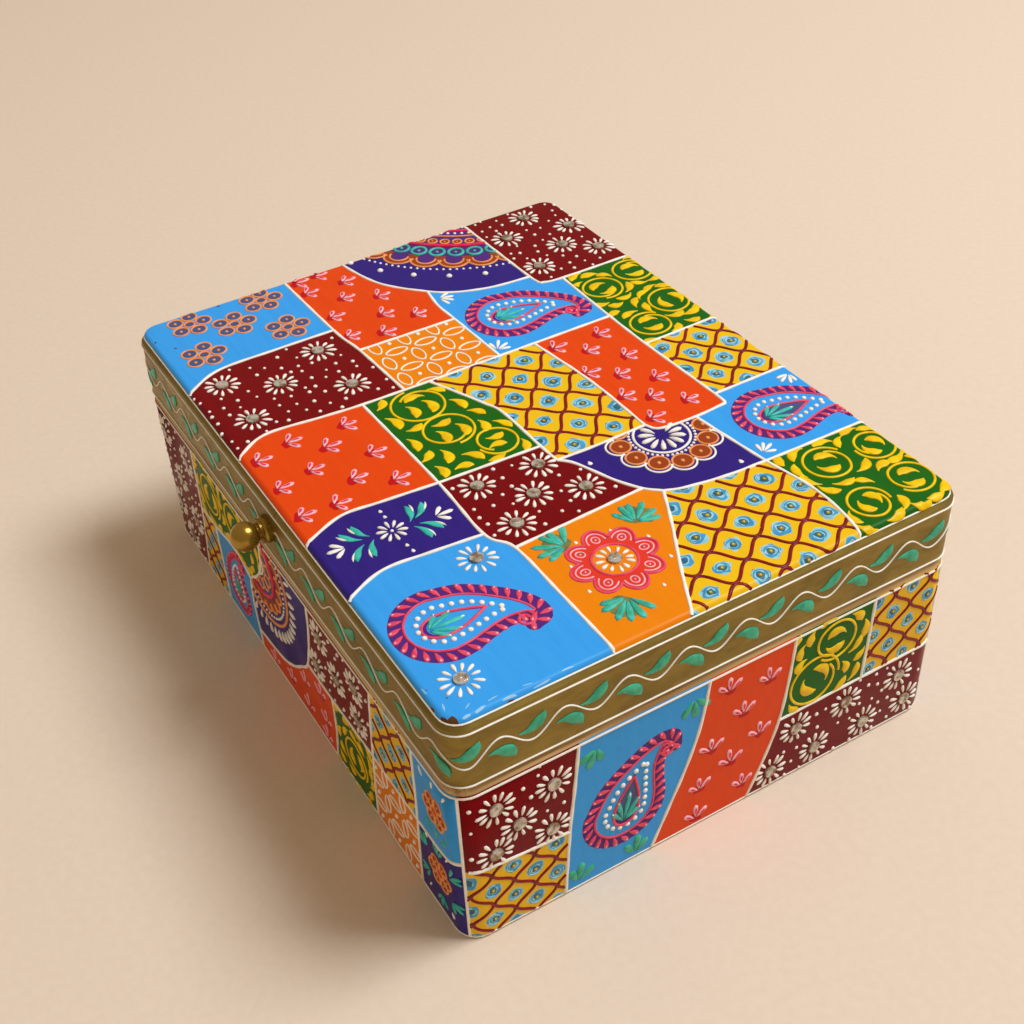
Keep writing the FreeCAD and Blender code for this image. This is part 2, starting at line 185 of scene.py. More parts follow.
@dataclass(frozen=True)
class Enamel:
    """Gloss enamel laid on with a brush: streaks and a worn, slightly uneven shine."""

    name: str
    colour: str
    shade: str

    # Long soft streaks of thinner and thicker paint, as a flat brush leaves them, and sparse rubbed specks
    STREAKS = Pattern((26.0, 3.2, 9.0), 3.0, 0.35, 0.75)
    SPECKS = Pattern((2.4, 2.4, 2.4), 5.0, 0.66, 0.76)
    # The shine breaks up over hand-sized areas, and the bristles leave fine ridges
    HANDLING = Pattern((18.0, 18.0, 18.0), 3.0, 0.3, 0.7)
    RIDGES = Pattern((14.0, 1.1, 2.0), 2.0)

    def material(self) -> Material:
        """Make the paint's material."""
        marks = ((self.STREAKS, self.shade, 0.22), (self.SPECKS, self.shade, 0.35))
        return dress(self.name, self.colour, marks, roughness=0.3, dulling=(self.HANDLING, 0.16),
                     relief=(self.RIDGES, 0.08, 0.5), specular=0.12)


@dataclass(frozen=True)
class ConePaint:
    """Thick paint pressed from a cone: smooth, a little glossy, with paler and darker passages."""

    name: str
    colour: str
    shade: str

    # Each stroke drifts between the two colours, like paint that is not fully stirred, and dries uneven
    DRIFT = Pattern((3.5, 3.5, 3.5), 3.0, 0.35, 0.7)
    SKIN = Pattern((0.7, 0.7, 0.7), 2.0)

    def material(self) -> Material:
        """Make the paint's material."""
        return dress(self.name, self.colour, ((self.DRIFT, self.shade, 1.0),), roughness=0.38,
                     relief=(self.SKIN, 0.06, 0.4), specular=0.22)


class Paint(Enum):
    """The box's paints: enamel grounds first, then the paints drawn on top of them."""

    SKY = Enamel("sky_blue_brushed_enamel", "#3aa2f0", "#2a86d8")
    MAROON = Enamel("maroon_brushed_enamel", "#78020a", "#580106")
    ORANGE = Enamel("orange_red_brushed_enamel", "#e6480a", "#c83606")
    SAFFRON = Enamel("saffron_brushed_enamel", "#ee8606", "#d97003")
    YELLOW = Enamel("yellow_brushed_enamel", "#f0c016", "#e0a80a")
    GREEN = Enamel("green_brushed_enamel", "#1a6414", "#0f4a0c")
    INDIGO = Enamel("indigo_brushed_enamel", "#311f7c", "#231360")
    PURPLE = Enamel("purple_brushed_enamel", "#552a7c", "#422064")
    RUST = Enamel("rust_brushed_enamel", "#9c4218", "#7c2e0e")
    SLATE = Enamel("slate_blue_brushed_enamel", "#4a5888", "#39446e")
    CORAL_GROUND = Enamel("coral_brushed_enamel", "#e23c2a", "#ca2a20")
    RED = Enamel("red_brushed_enamel", "#c2101a", "#a00a12")
    # Paler blue streaked along the lid's rolled edge: paint rubbed thin, together with painted sheen where
    # the round catches the light
    RUBBED_AND_SHEEN = Enamel("sky_blue_enamel_rubbed_and_sheen", "#9ccbee", "#78b4e4")
    CHIPPED = Enamel("wood_chipped_bare", "#63401f", "#452a14")
    CREAM = ConePaint("cream_cone_drawn_relief", "#fefaf0", "#f2ebdc")
    SCROLL = ConePaint("scroll_yellow_cone_drawn_relief", "#fad200", "#e8b800")
    TURQUOISE = ConePaint("turquoise_cone_drawn_relief", "#45c8b8", "#2fa596")
    LEAF = ConePaint("leaf_green_cone_drawn_relief", "#4abe98", "#309a78")
    PINK = ConePaint("pink_cone_drawn_relief", "#ea3460", "#d82048")
    PALE_PINK = ConePaint("pale_pink_cone_drawn_relief", "#fac3cc", "#f3a0b0")
    CORAL = ConePaint("coral_cone_drawn_relief", "#ee5470", "#dc3c5c")
    PEACH = ConePaint("peach_cone_drawn_relief", "#f4a468", "#e48a48")
    EYE_PALE = ConePaint("eye_pale_blue_brush_dabbed_relief", "#a4d6e2", "#80bed2")
    EYE_BLUE = ConePaint("eye_blue_brush_dabbed_relief", "#4aa4d0", "#3488b8")
    EYE_DEEP = ConePaint("eye_deep_blue_brush_dabbed_relief", "#2f708e", "#265c78")
    OLIVE = ConePaint("olive_brush_dabbed_relief", "#8c8a4c", "#66683a")
    LATTICE = ConePaint("lattice_maroon_cone_drawn_relief", "#900e1a", "#700812")


@dataclass(frozen=True)
class AntiqueBrass:
    """Brass sheet or turned brass gone dull: brown in clouds of tarnish, drawn with fine streaks."""

    name: str
    colour: str
    tarnish: str
    streak_size: Heading
    roughness: float
    contrast: float = 0.3
    relief: float = 0.4

    # Clouds of tarnish a few centimetres wide
    CLOUDS = Pattern((30.0, 30.0, 12.0), 3.0, 0.35, 0.7)

    def material(self) -> Material:
        """Make the metal's material.

        Returns:
            The material.
        """
        # Rubbing streaks along the sheet change its colour, its shine and its relief together.
        streaks = Pattern(self.streak_size, 4.0, 0.4, 0.65)
        marks = ((self.CLOUDS, self.tarnish, 0.55), (streaks, self.tarnish, self.contrast))
        return dress(self.name, self.colour, marks, self.roughness, (streaks, 0.14),
                     (streaks, 0.05, self.relief), metallic=0.85)


@dataclass(frozen=True)
class SawnWood:
    """Bare softwood, sawn and sanded: straw with brown growth lines along the board."""

    name: str
    colour: str
    growth: str
    grain_size: Heading

    def material(self) -> Material:
        """Make the wood's material, with long growth lines that stand up a little."""
        lines = Pattern(self.grain_size, 6.0, 0.38, 0.66)
        return dress(self.name, self.colour, ((lines, self.growth, 1.0),), 0.68, relief=(lines, 0.15, 0.5))


@dataclass(frozen=True)
class MirrorGlass:
    """Silvered glass chip, scratched and browned in its silvering, with a pale matt half that is painted
    reflection.
    """

    name: str
    colour: str
    stain: str

    # Brown blooms in the silvering let each chip reflect a different amount
    BLOOM = Pattern((3.0, 3.0, 3.0), 4.0, 0.42, 0.62)

    def material(self) -> Material:
        """Make the chip's material."""
        # Only half metallic: the pale grey matt half is painted reflection, standing in for the bright
        # surroundings that the chip would mirror
        return dress(self.name, self.colour, ((self.BLOOM, self.stain, 1.0),), 0.12, (self.BLOOM, 0.28),
                     (self.BLOOM, 0.3, 0.8), metallic=0.5)


@dataclass(frozen=True)
class DrawnSteel:
    """Drawn steel wire, grey and satin, its shine varied by fine drawing marks."""

    name: str
    colour: str

    DRAWING = Pattern((0.3, 0.3, 6.0), 3.0, 0.3, 0.7)

    def material(self) -> Material:
        """Make the steel's material."""
        return dress(self.name, self.colour, roughness=0.3, dulling=(self.DRAWING, 0.15), metallic=1.0)


@dataclass(frozen=True)
class SeamlessPaper:
    """Pale studio paper, with a faint fibre that keeps it from looking like a flat colour."""

    name: str
    colour: str
    tone: str

    FIBRE = Pattern((4.0, 4.0, 4.0), 6.0, 0.3, 0.7)

    def material(self) -> Material:
        """Make the paper's material."""
        return dress(self.name, self.colour, ((self.FIBRE, self.tone, 0.12),), roughness=0.9)


def resample(line: np.ndarray, step: float) -> np.ndarray:
    """Space points evenly along a line.

    Args:
        line: Points of the line.
        step: Wanted distance between points.

    Returns:
        The new points, with the same ends.
    """
    line = np.asarray(line, dtype=float)
    run = np.concatenate([[0.0], np.cumsum(np.linalg.norm(np.diff(line, axis=0), axis=1))])
    count = max(2, int(round(run[-1] / step)) + 1)
    wanted = np.linspace(0.0, run[-1], count)
    return np.column_stack([np.interp(wanted, run, line[:, axis]) for axis in range(line.shape[1])])


def smooth(knots: object, step: float) -> np.ndarray:
    """Draw a smooth line through knots.

    Args:
        knots: Points that the line passes through.
        step: Distance between the points of the line.

    Returns:
        Points of the line.
    """
    knots = np.asarray(knots, dtype=float)
    padded = np.vstack([2 * knots[0] - knots[1], knots, 2 * knots[-1] - knots[-2]])
    parts = 12
    pieces = []
    for a, b, c, d in zip(padded, padded[1:], padded[2:], padded[3:]):
        t = np.linspace(0.0, 1.0, parts + 1)[:-1, None]
        pieces.append(b + 0.5 * t * (c - a + t * (2 * a - 5 * b + 4 * c - d + t * (3 * (b - c) + d - a))))
    return resample(np.vstack(pieces + [knots[-1:]]), step)


def polar(centre: object, radius: object, degrees: object) -> np.ndarray:
    """Give points at a radius and angle round a centre.

    Args:
        centre: Middle point.
        radius: Distance, or distances, from it.
        degrees: Angle, or angles, from the direction of u.

    Returns:
        One point, or a row of points.
    """
    angle = np.radians(degrees)
    way = np.stack([np.cos(angle), np.sin(angle)], axis=-1)
    return np.asarray(centre) + way * np.expand_dims(np.asarray(radius), -1)


def turned(points: np.ndarray, degrees: float) -> np.ndarray:
    """Turn one point, or a row of points, to the left about the origin."""
    return points @ np.array([polar(ORIGIN, 1.0, degrees), polar(ORIGIN, 1.0, degrees + 90)])


def bearing(way: np.ndarray) -> float:
    """Give the angle of a direction in degrees."""
    return math.degrees(math.atan2(way[1], way[0]))


def arc(centre: object, radius: float, start: float, sweep: float, step: float) -> np.ndarray:
    """Draw an arc from a first angle over a sweep of degrees, with points about a step apart."""
    count = max(4, int(abs(math.radians(sweep)) * radius / step) + 2)
    return polar(centre, radius, np.linspace(start, start + sweep, count))


def inside(points: np.ndarray, polygon: np.ndarray) -> np.ndarray:
    """Tell which points lie in a polygon.

    Args:
        points: Points to test.
        polygon: Corners in order.

    Returns:
        One truth value for each point.
    """
    x, y = points[:, :1], points[:, 1:]
    start, end = polygon, np.roll(polygon, -1, axis=0)
    crosses = (start[:, 1] > y) != (end[:, 1] > y)
    rise = np.where(np.abs(end[:, 1] - start[:, 1]) < TINY, TINY, end[:, 1] - start[:, 1])
    meets = start[:, 0] + (y - start[:, 1]) * (end[:, 0] - start[:, 0]) / rise
    return (np.sum(crosses & (x < meets), axis=1) % 2) == 1


@dataclass(frozen=True)
class LidTop:
    """Top of the lid: flat, then rolled over a round edge and down to the brass."""

    half_length: float
    half_width: float
    top: float
    drop: float
    corner_radius: float
    edge_round: float

    # Straight parts in each corner of a line round the lid, and in the rolled edge
    CORNER_PARTS = 8
    ROLL_PARTS = 6

    def core(self) -> np.ndarray:
        """Give half of the rectangle between the centres of the corners."""
        return np.array([self.half_length - self.corner_radius, self.half_width - self.corner_radius])

    def level(self) -> float:
        """Give the width of the flat margin outside that rectangle."""
        return self.corner_radius - self.edge_round

    def edge(self) -> float:
        """Give the length of surface between the flat top and the brass."""
        return self.edge_round * math.pi / 2 + self.drop - self.edge_round

    def place(self, flat: np.ndarray, height: float) -> tuple[np.ndarray, np.ndarray]:
        """Give the points and normals of drawing points.

        Args:
            flat: Drawing points.
            height: Height above the wood.

        Returns:
            Points and normals.
        """
        nearest = np.clip(flat, -self.core(), self.core())
        away = flat - nearest
        distance = np.linalg.norm(away, axis=1)
        outward = away / np.maximum(distance, TINY)[:, None]
        level = self.level()
        bend = np.clip((distance - level) / self.edge_round, 0.0, math.pi / 2)
        fall = np.maximum(distance - level - self.edge_round * math.pi / 2, 0.0)
        reach = np.minimum(distance, level) + self.edge_round * np.sin(bend)
        down = self.edge_round * (1 - np.cos(bend)) + fall
        points = np.column_stack([nearest + outward * reach[:, None], self.top - down])
        normals = np.column_stack([outward * np.sin(bend)[:, None], np.cos(bend)])
        return points + normals * height, normals

    def flatten(self, point: np.ndarray) -> np.ndarray:
        """Give the drawing point below a point of the box."""
        return point[:2]

    def loop(self, distance: float) -> np.ndarray:
        """Draw a line round the lid.

        Args:
            distance: Length of surface between the flat top and the line.

        Returns:
            The closed line.
        """
        radius = self.level() + distance
        centre = self.core() + self.level() + distance - radius
        points = []
        for start, signs in ((0, (1, 1)), (90, (-1, 1)), (180, (-1, -1)), (270, (1, -1))):
            angles = np.linspace(start, start + 90, self.CORNER_PARTS + 1)
            points += list(polar(centre * signs, radius, angles))
        return np.array(points + points[:1])

    def outline(self) -> np.ndarray:
        """Give the closed edge of the drawing plane."""
        return self.loop(self.edge())

    def folds(self) -> list[np.ndarray]:
        """Give lines round the lid where it bends."""
        roll = self.edge_round * math.pi / 2
        return [self.loop(roll * part / self.ROLL_PARTS) for part in range(self.ROLL_PARTS + 1)]

    def room(self, flat: np.ndarray) -> np.ndarray:
        """Give how far paint can spread at drawing points before it runs onto the brass."""
        away = np.linalg.norm(flat - np.clip(flat, -self.core(), self.core()), axis=1)
        return self.level() + self.edge() - away


@dataclass(frozen=True)
class Wall:
    """One upright side, from the middle of one rounded corner to the middle of the next."""

    along: Heading
    outward: Heading
    reach: float
    half_length: float
    low: float
    high: float
    corner_radius: float
    foot_round: float

    # How far the drawing runs on under the foot, and where it bends there, as shares of the foot's rounding
    TUCK_SHARE = 0.4
    FOOT_SHARES = (0.0, 0.5, 1.0)
    # Straight parts in half a corner
    CORNER_PARTS = 5

    def place(self, flat: np.ndarray, height: float) -> tuple[np.ndarray, np.ndarray]:
        """Give the points and normals of drawing points.

        Args:
            flat: Drawing points.
            height: Height above the face.

        Returns:
            Points and normals.
        """
        u, v = flat[:, 0], flat[:, 1]
        straight = self.half_length - self.corner_radius
        level = np.clip(u, -straight, straight)
        turn = (u - level) / self.corner_radius
        foot = np.maximum(self.low + self.foot_round - v, 0.0) / max(self.foot_round, TINY)
        foot = np.minimum(foot, math.pi / 2) if self.foot_round else np.zeros_like(u)
        sideways = np.outer(np.sin(turn), self.along) + np.outer(np.cos(turn), self.outward)
        normals = sideways * np.cos(foot)[:, None] - np.outer(np.sin(foot), UP)
        tuck = self.foot_round * (1 - np.cos(foot))
        upright = np.where(foot > 0, self.low + self.foot_round * (1 - np.sin(foot)), v)
        points = np.outer(level, self.along) + (self.reach - self.corner_radius) * np.asarray(self.outward)
        points = points + sideways * (self.corner_radius - tuck)[:, None] + np.outer(upright, UP)
        return points + normals * height, normals

    def flatten(self, point: np.ndarray) -> np.ndarray:
        """Give the drawing point below a point of the box."""
        return np.array([np.dot(point, self.along), point[2]])

    def limit(self) -> float:
        """Give the u of the middle of a corner."""
        return self.half_length - self.corner_radius + self.corner_radius * math.pi / 4

    def outline(self) -> np.ndarray:
        """Give the closed edge of the drawing plane.

        Returns:
            The closed outline.
        """
        u = self.limit()
        low = self.low - self.TUCK_SHARE * self.foot_round
        return np.array([(u, self.high), (-u, self.high), (-u, low), (u, low), (u, self.high)])

    def folds(self) -> list[np.ndarray]:
        """Give upright lines round the corners and level lines over the foot.

        Returns:
            Lines of the drawing plane.
        """
        straight = self.half_length - self.corner_radius
        corner = self.limit() - straight
        turns = [straight + corner * part / self.CORNER_PARTS for part in range(self.CORNER_PARTS)]
        low = self.low - self.TUCK_SHARE * self.foot_round
        lines = [np.array([(side * u, low), (side * u, self.high)]) for u in turns for side in (-1, 1)]
        for share in self.FOOT_SHARES:
            level = self.low + self.foot_round * share
            lines.append(np.array([(-self.limit(), level), (self.limit(), level)]))
        return lines

    def room(self, flat: np.ndarray) -> np.ndarray:
        """Give how far paint can spread at drawing points before it passes the rim or the foot."""
        return np.minimum(self.high - flat[:, 1], flat[:, 1] - self.low)


Surface = LidTop | Wall


class DabShape(Enum):
    """Shape of one touch of paint."""

    ROUND = 0
    DROP = 1


@dataclass
class Relief:
    """Raised paint of one colour on one body: lines drawn with a cone, and separate dabs."""

    body: str
    paint: Paint
    rows: list[tuple] = field(default_factory=list)
    edges: list[tuple[int, int]] = field(default_factory=list)

    SECTION_POINTS = 8
    DAB_SEGMENTS = 8
    DAB_RINGS = 5
    # What each point of the source mesh carries, in the order of a row
    ATTRIBUTES = {
        "base": "FLOAT_VECTOR", "lift": "FLOAT_VECTOR", "along": "FLOAT_VECTOR", "size": "FLOAT_VECTOR",
        "half_width": "FLOAT", "thickness": "FLOAT", "shape": "INT",
    }
    LENGTHS = ("base", "size", "half_width", "thickness")

    def add_line(self, points: np.ndarray, lifts: np.ndarray, half_widths: np.ndarray,
                 thickness: np.ndarray) -> None:
        """Add a line.

        Args:
            points: Its points.
            lifts: Normals of the face below.
            half_widths: Half of its width at each point.
            thickness: Its height at each point.
        """
        first = len(self.rows)
        for point, lift, half, thick in zip(points, lifts, half_widths, thickness):
            self.rows.append((point, lift, UP, (0, 0, 0), half, thick, 0))
        self.edges += [(n, n + 1) for n in range(first, len(self.rows) - 1)]

    def add_dab(self, point: np.ndarray, lift: np.ndarray, along: np.ndarray, size: Heading,
                shape: DabShape) -> None:
        """Add a dab: middle, normal of the face, way to its wide end, half sizes and height, and shape."""
        self.rows.append((point, lift, along, size, 0.0, 0.0, shape.value))

    def source_mesh(self) -> Mesh:
        """Make the mesh that the node tree works on.

        Returns:
            Edges for lines and single points for dabs, with their sizes as attributes.
        """
        columns = {name: np.array(column, dtype=float)
                   for name, column in zip(self.ATTRIBUTES, zip(*self.rows))}
        for name in self.LENGTHS:
            columns[name] *= MM
        mesh = bpy.data.meshes.new("relief_source")
        mesh.from_pydata(columns["base"].tolist(), self.edges, [])
        for name, kind in self.ATTRIBUTES.items():
            values = columns[name].astype(int) if kind == "INT" else columns[name].ravel()
            key = "vector" if kind == "FLOAT_VECTOR" else "value"
            mesh.attributes.new(name, kind, "POINT").data.foreach_set(key, values)
        return mesh

    def build(self, tree: NodeTree, material: Material) -> Object:
        """Make the finished mesh object.

        Args:
            tree: Node tree from raised_paint_tree.
            material: Material of the paint.

        Returns:
            The object, riding on its body.
        """
        name = "%s_%s" % (self.body, self.paint.value.name)
        source = add_object(name + "_source", self.source_mesh())
        modifier = source.modifiers.new("raised_paint", "NODES")
        modifier.node_group = tree
        wanted = {"Material": material, "Section Points": self.SECTION_POINTS,
                  "Dab Segments": self.DAB_SEGMENTS, "Dab Rings": self.DAB_RINGS}
        for item in tree.interface.items_tree:
            if item.in_out == "INPUT" and item.name in wanted:
                modifier[item.identifier] = wanted[item.name]
        evaluated = source.evaluated_get(bpy.context.evaluated_depsgraph_get())
        mesh = bpy.data.meshes.new_from_object(evaluated)
        bpy.data.objects.remove(source)
        for attribute in self.ATTRIBUTES:
            if attribute in mesh.attributes:
                mesh.attributes.remove(mesh.attributes[attribute])
        piece = add_object(name, mesh)
        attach(piece, self.body)
        return piece


def raised_paint_tree() -> NodeTree:
    """Make the node tree that turns lines into beads of paint, and points into dabs.

    Returns:
        The tree.
    """
    tail_width, full_from = 0.25, 0.6
    tree = bpy.data.node_groups.new("raised_paint", "GeometryNodeTree")
    tree.interface.new_socket("Geometry", in_out="INPUT", socket_type="NodeSocketGeometry")
    tree.interface.new_socket("Material", in_out="INPUT", socket_type="NodeSocketMaterial")
    for name in ("Section Points", "Dab Segments", "Dab Rings"):
        tree.interface.new_socket(name, in_out="INPUT", socket_type="NodeSocketInt")
    tree.interface.new_socket("Geometry", in_out="OUTPUT", socket_type="NodeSocketGeometry")
    add = partial(add_node, tree)
    given = add("NodeGroupInput").outputs
    stored = {}
    for name, kind in Relief.ATTRIBUTES.items():
        reader = add("GeometryNodeInputNamedAttribute", {"Name": name}, data_type=kind)
        stored[name] = reader.outputs[0]
    lift, half_width = stored["lift"], stored["half_width"]
    place = add("GeometryNodeInputPosition").outputs[0]

    # A point with a neighbour belongs to a line, and a lone point is a dab.
    neighbours = add("GeometryNodeInputMeshVertexNeighbors").outputs[0]
    on_line = add("FunctionNodeCompare", {2: neighbours, 3: 0}, data_type="INT",
                  operation="GREATER_THAN").outputs[0]
    split = add("GeometryNodeSeparateGeometry", {0: given[0], 1: on_line}, domain="POINT").outputs

    # Lines: a round section as wide as the stroke, pressed down to the stroke's own thickness.
    curve = add("GeometryNodeMeshToCurve", {0: split[0]}).outputs[0]
    curve = add("GeometryNodeSetCurveNormal", {"Curve": curve, "Normal": lift}, mode="FREE").outputs[0]
    section = add("GeometryNodeCurvePrimitiveCircle", {
        "Resolution": given["Section Points"], "Radius": 1.0,
    }).outputs[0]
    beads = add("GeometryNodeCurveToMesh", {
        "Curve": curve, "Profile Curve": section, "Scale": half_width, "Fill Caps": True,
    }).outputs[0]
    base, thickness = stored["base"], stored["thickness"]
    offset = add("ShaderNodeVectorMath", {0: place, 1: base}, operation="SUBTRACT").outputs[0]
    height = add("ShaderNodeVectorMath", {0: offset, 1: lift}, operation="DOT_PRODUCT").outputs[1]
    share = add("ShaderNodeMath", {0: thickness, 1: half_width}, operation="DIVIDE").outputs[0]
    squeeze = add("ShaderNodeMath", {0: share, 1: 1.0}, operation="SUBTRACT").outputs[0]
    sink = add("ShaderNodeMath", {0: height, 1: squeeze}, operation="MULTIPLY").outputs[0]
    press = add("ShaderNodeVectorMath", {0: lift, "Scale": sink}, operation="SCALE").outputs[0]
    beads = add("GeometryNodeSetPosition", {"Geometry": beads, "Offset": press}).outputs[0]

    # Dabs: a ball, or a ball drawn out to a thin tail, turned to the face and sized.
    ball = add("GeometryNodeMeshUVSphere", {
        "Segments": given["Dab Segments"], "Rings": given["Dab Rings"], "Radius": 1.0,
    }).outputs[0]
    along = add("ShaderNodeSeparateXYZ", {0: place}).outputs[0]
    fullness = add("ShaderNodeMapRange", {
        "Value": along, "From Min": -1.0, "From Max": full_from, "To Min": tail_width, "To Max": 1.0,
    }).outputs[0]
    slim = add("ShaderNodeCombineXYZ", {0: 1.0, 1: fullness, 2: 1.0}).outputs[0]
    slimmed = add("ShaderNodeVectorMath", {0: place, 1: slim}, operation="MULTIPLY").outputs[0]
    drop = add("GeometryNodeSetPosition", {"Geometry": ball, "Position": slimmed}).outputs[0]
    shapes = add("GeometryNodeJoinGeometry")
    for shape in (drop, ball):
        feed(tree, shapes, {0: add("GeometryNodeGeometryToInstance", {0: shape}).outputs[0]})
    turn = add("FunctionNodeAxesToRotation", {
        "Primary Axis": lift, "Secondary Axis": stored["along"],
    }, primary_axis="Z", secondary_axis="X").outputs[0]
    dabs = add("GeometryNodeInstanceOnPoints", {
        "Points": split[1], "Instance": shapes.outputs[0], "Pick Instance": True,
        "Instance Index": stored["shape"], "Rotation": turn, "Scale": stored["size"],
    }).outputs[0]

    whole = add("GeometryNodeJoinGeometry")
    for part in (beads, dabs):
        feed(tree, whole, {0: part})
    solid = add("GeometryNodeRealizeInstances", {0: whole.outputs[0]}).outputs[0]
    solid = add("GeometryNodeSetShadeSmooth", {"Geometry": solid}).outputs[0]
    solid = add("GeometryNodeSetMaterial", {"Geometry": solid, "Material": given["Material"]}).outputs[0]
    add("NodeGroupOutput", {0: solid})
    return tree


class PaintShop:
    """Keeps the material of each paint and the raised paint of each body."""

    def __init__(self) -> None:
        """Start with every paint mixed and nothing painted."""
        self.materials = {paint: paint.value.material() for paint in Paint}
        self.reliefs: dict[tuple[str, Paint], Relief] = {}

    def relief(self, body: str, paint: Paint) -> Relief:
        """Give the raised paint of one colour on one body."""
        return self.reliefs.setdefault((body, paint), Relief(body, paint))

    def build(self) -> list[Object]:
        """Make every raised paint's mesh object."""
        tree = raised_paint_tree()
        return [relief.build(tree, self.materials[relief.paint]) for relief in self.reliefs.values()]


@dataclass(frozen=True)
class Region:
    """One patch of a quilt: knows which points of the drawing plane lie in it."""

    # Number of the patch in each cell of the drawing plane, and the drawing point of the first cell
    labels: np.ndarray
    corner: np.ndarray
    # Size of a cell
    cell: float
    # Number of this patch
    label: int

    # How far a scattered point strays and how much room it needs, as shares of the spacing
    STRAY_SHARE = 0.25
    ROOM_SHARE = 0.3

    def holds(self, points: object) -> np.ndarray:
        """Tell which points lie in the patch.

        Args:
            points: Drawing points.

        Returns:
            One truth value for each point.
        """
        spots = np.atleast_2d(np.asarray(points, dtype=float))
        cells = np.round((spots - self.corner) / self.cell).astype(int)
        held = np.all((cells >= 0) & (cells < self.labels.shape), axis=1)
        cells = np.clip(cells, 0, np.array(self.labels.shape) - 1)
        return held & (self.labels[cells[:, 0], cells[:, 1]] == self.label)

    def holds_all(self, centre: object, radius: float) -> bool:
        """Tell if a small circle lies in the patch."""
        return bool(self.holds(polar(centre, radius, np.arange(0, 360, 45))).all())

    def runs(self, line: np.ndarray) -> list[np.ndarray]:
        """Cut a line to the patch.

        Args:
            line: Points of the line, close together.

        Returns:
            Point numbers of each stretch of the line that lies in the patch.
        """
        held = self.holds(line)
        parts = np.split(np.arange(len(line)), np.flatnonzero(np.diff(held.astype(int))) + 1)
        return [part for part in parts if held[part[0]] and len(part) > 1]

    def spots(self, spacing: float, chance: random.Random) -> list[np.ndarray]:
        """Scatter points over the patch in uneven rows.

        Args:
            spacing: Distance between rows.
            chance: Source of the unevenness.

        Returns:
            The points.
        """
        cells = np.argwhere(self.labels == self.label) * self.cell + self.corner
        low, high = cells.min(axis=0), cells.max(axis=0)
        found = []
        for row in range(int((high[1] - low[1]) / spacing) + 1):
            for column in range(int((high[0] - low[0]) / spacing) + 2):
                stagger = spacing * (column + 0.5 * (row % 2))
                spot = low + np.array([stagger, spacing * (row + 0.5)])
                stray = np.array([chance.uniform(-1, 1), chance.uniform(-1, 1)])
                spot = spot + spacing * self.STRAY_SHARE * stray
                if self.holds_all(spot, spacing * self.ROOM_SHARE):
                    found.append(spot)
        return found


@dataclass
class Canvas:
    """A face being painted: its shape, its body, its mirror chips and the flat colours of its film."""

    name: str
    surface: Surface
    body: str
    shop: PaintShop
    chips: list[np.ndarray]
    fills: list[tuple[Paint, np.ndarray, Region | None]] = field(default_factory=list)

    # Height of the film above the wood, and how far it reaches into it
    FILM = 0.12
    SINK = 0.08

    def __post_init__(self) -> None:
        """Lay the middles of the mirror chips on the drawing plane."""
        self.chips = [self.surface.flatten(chip) for chip in self.chips]


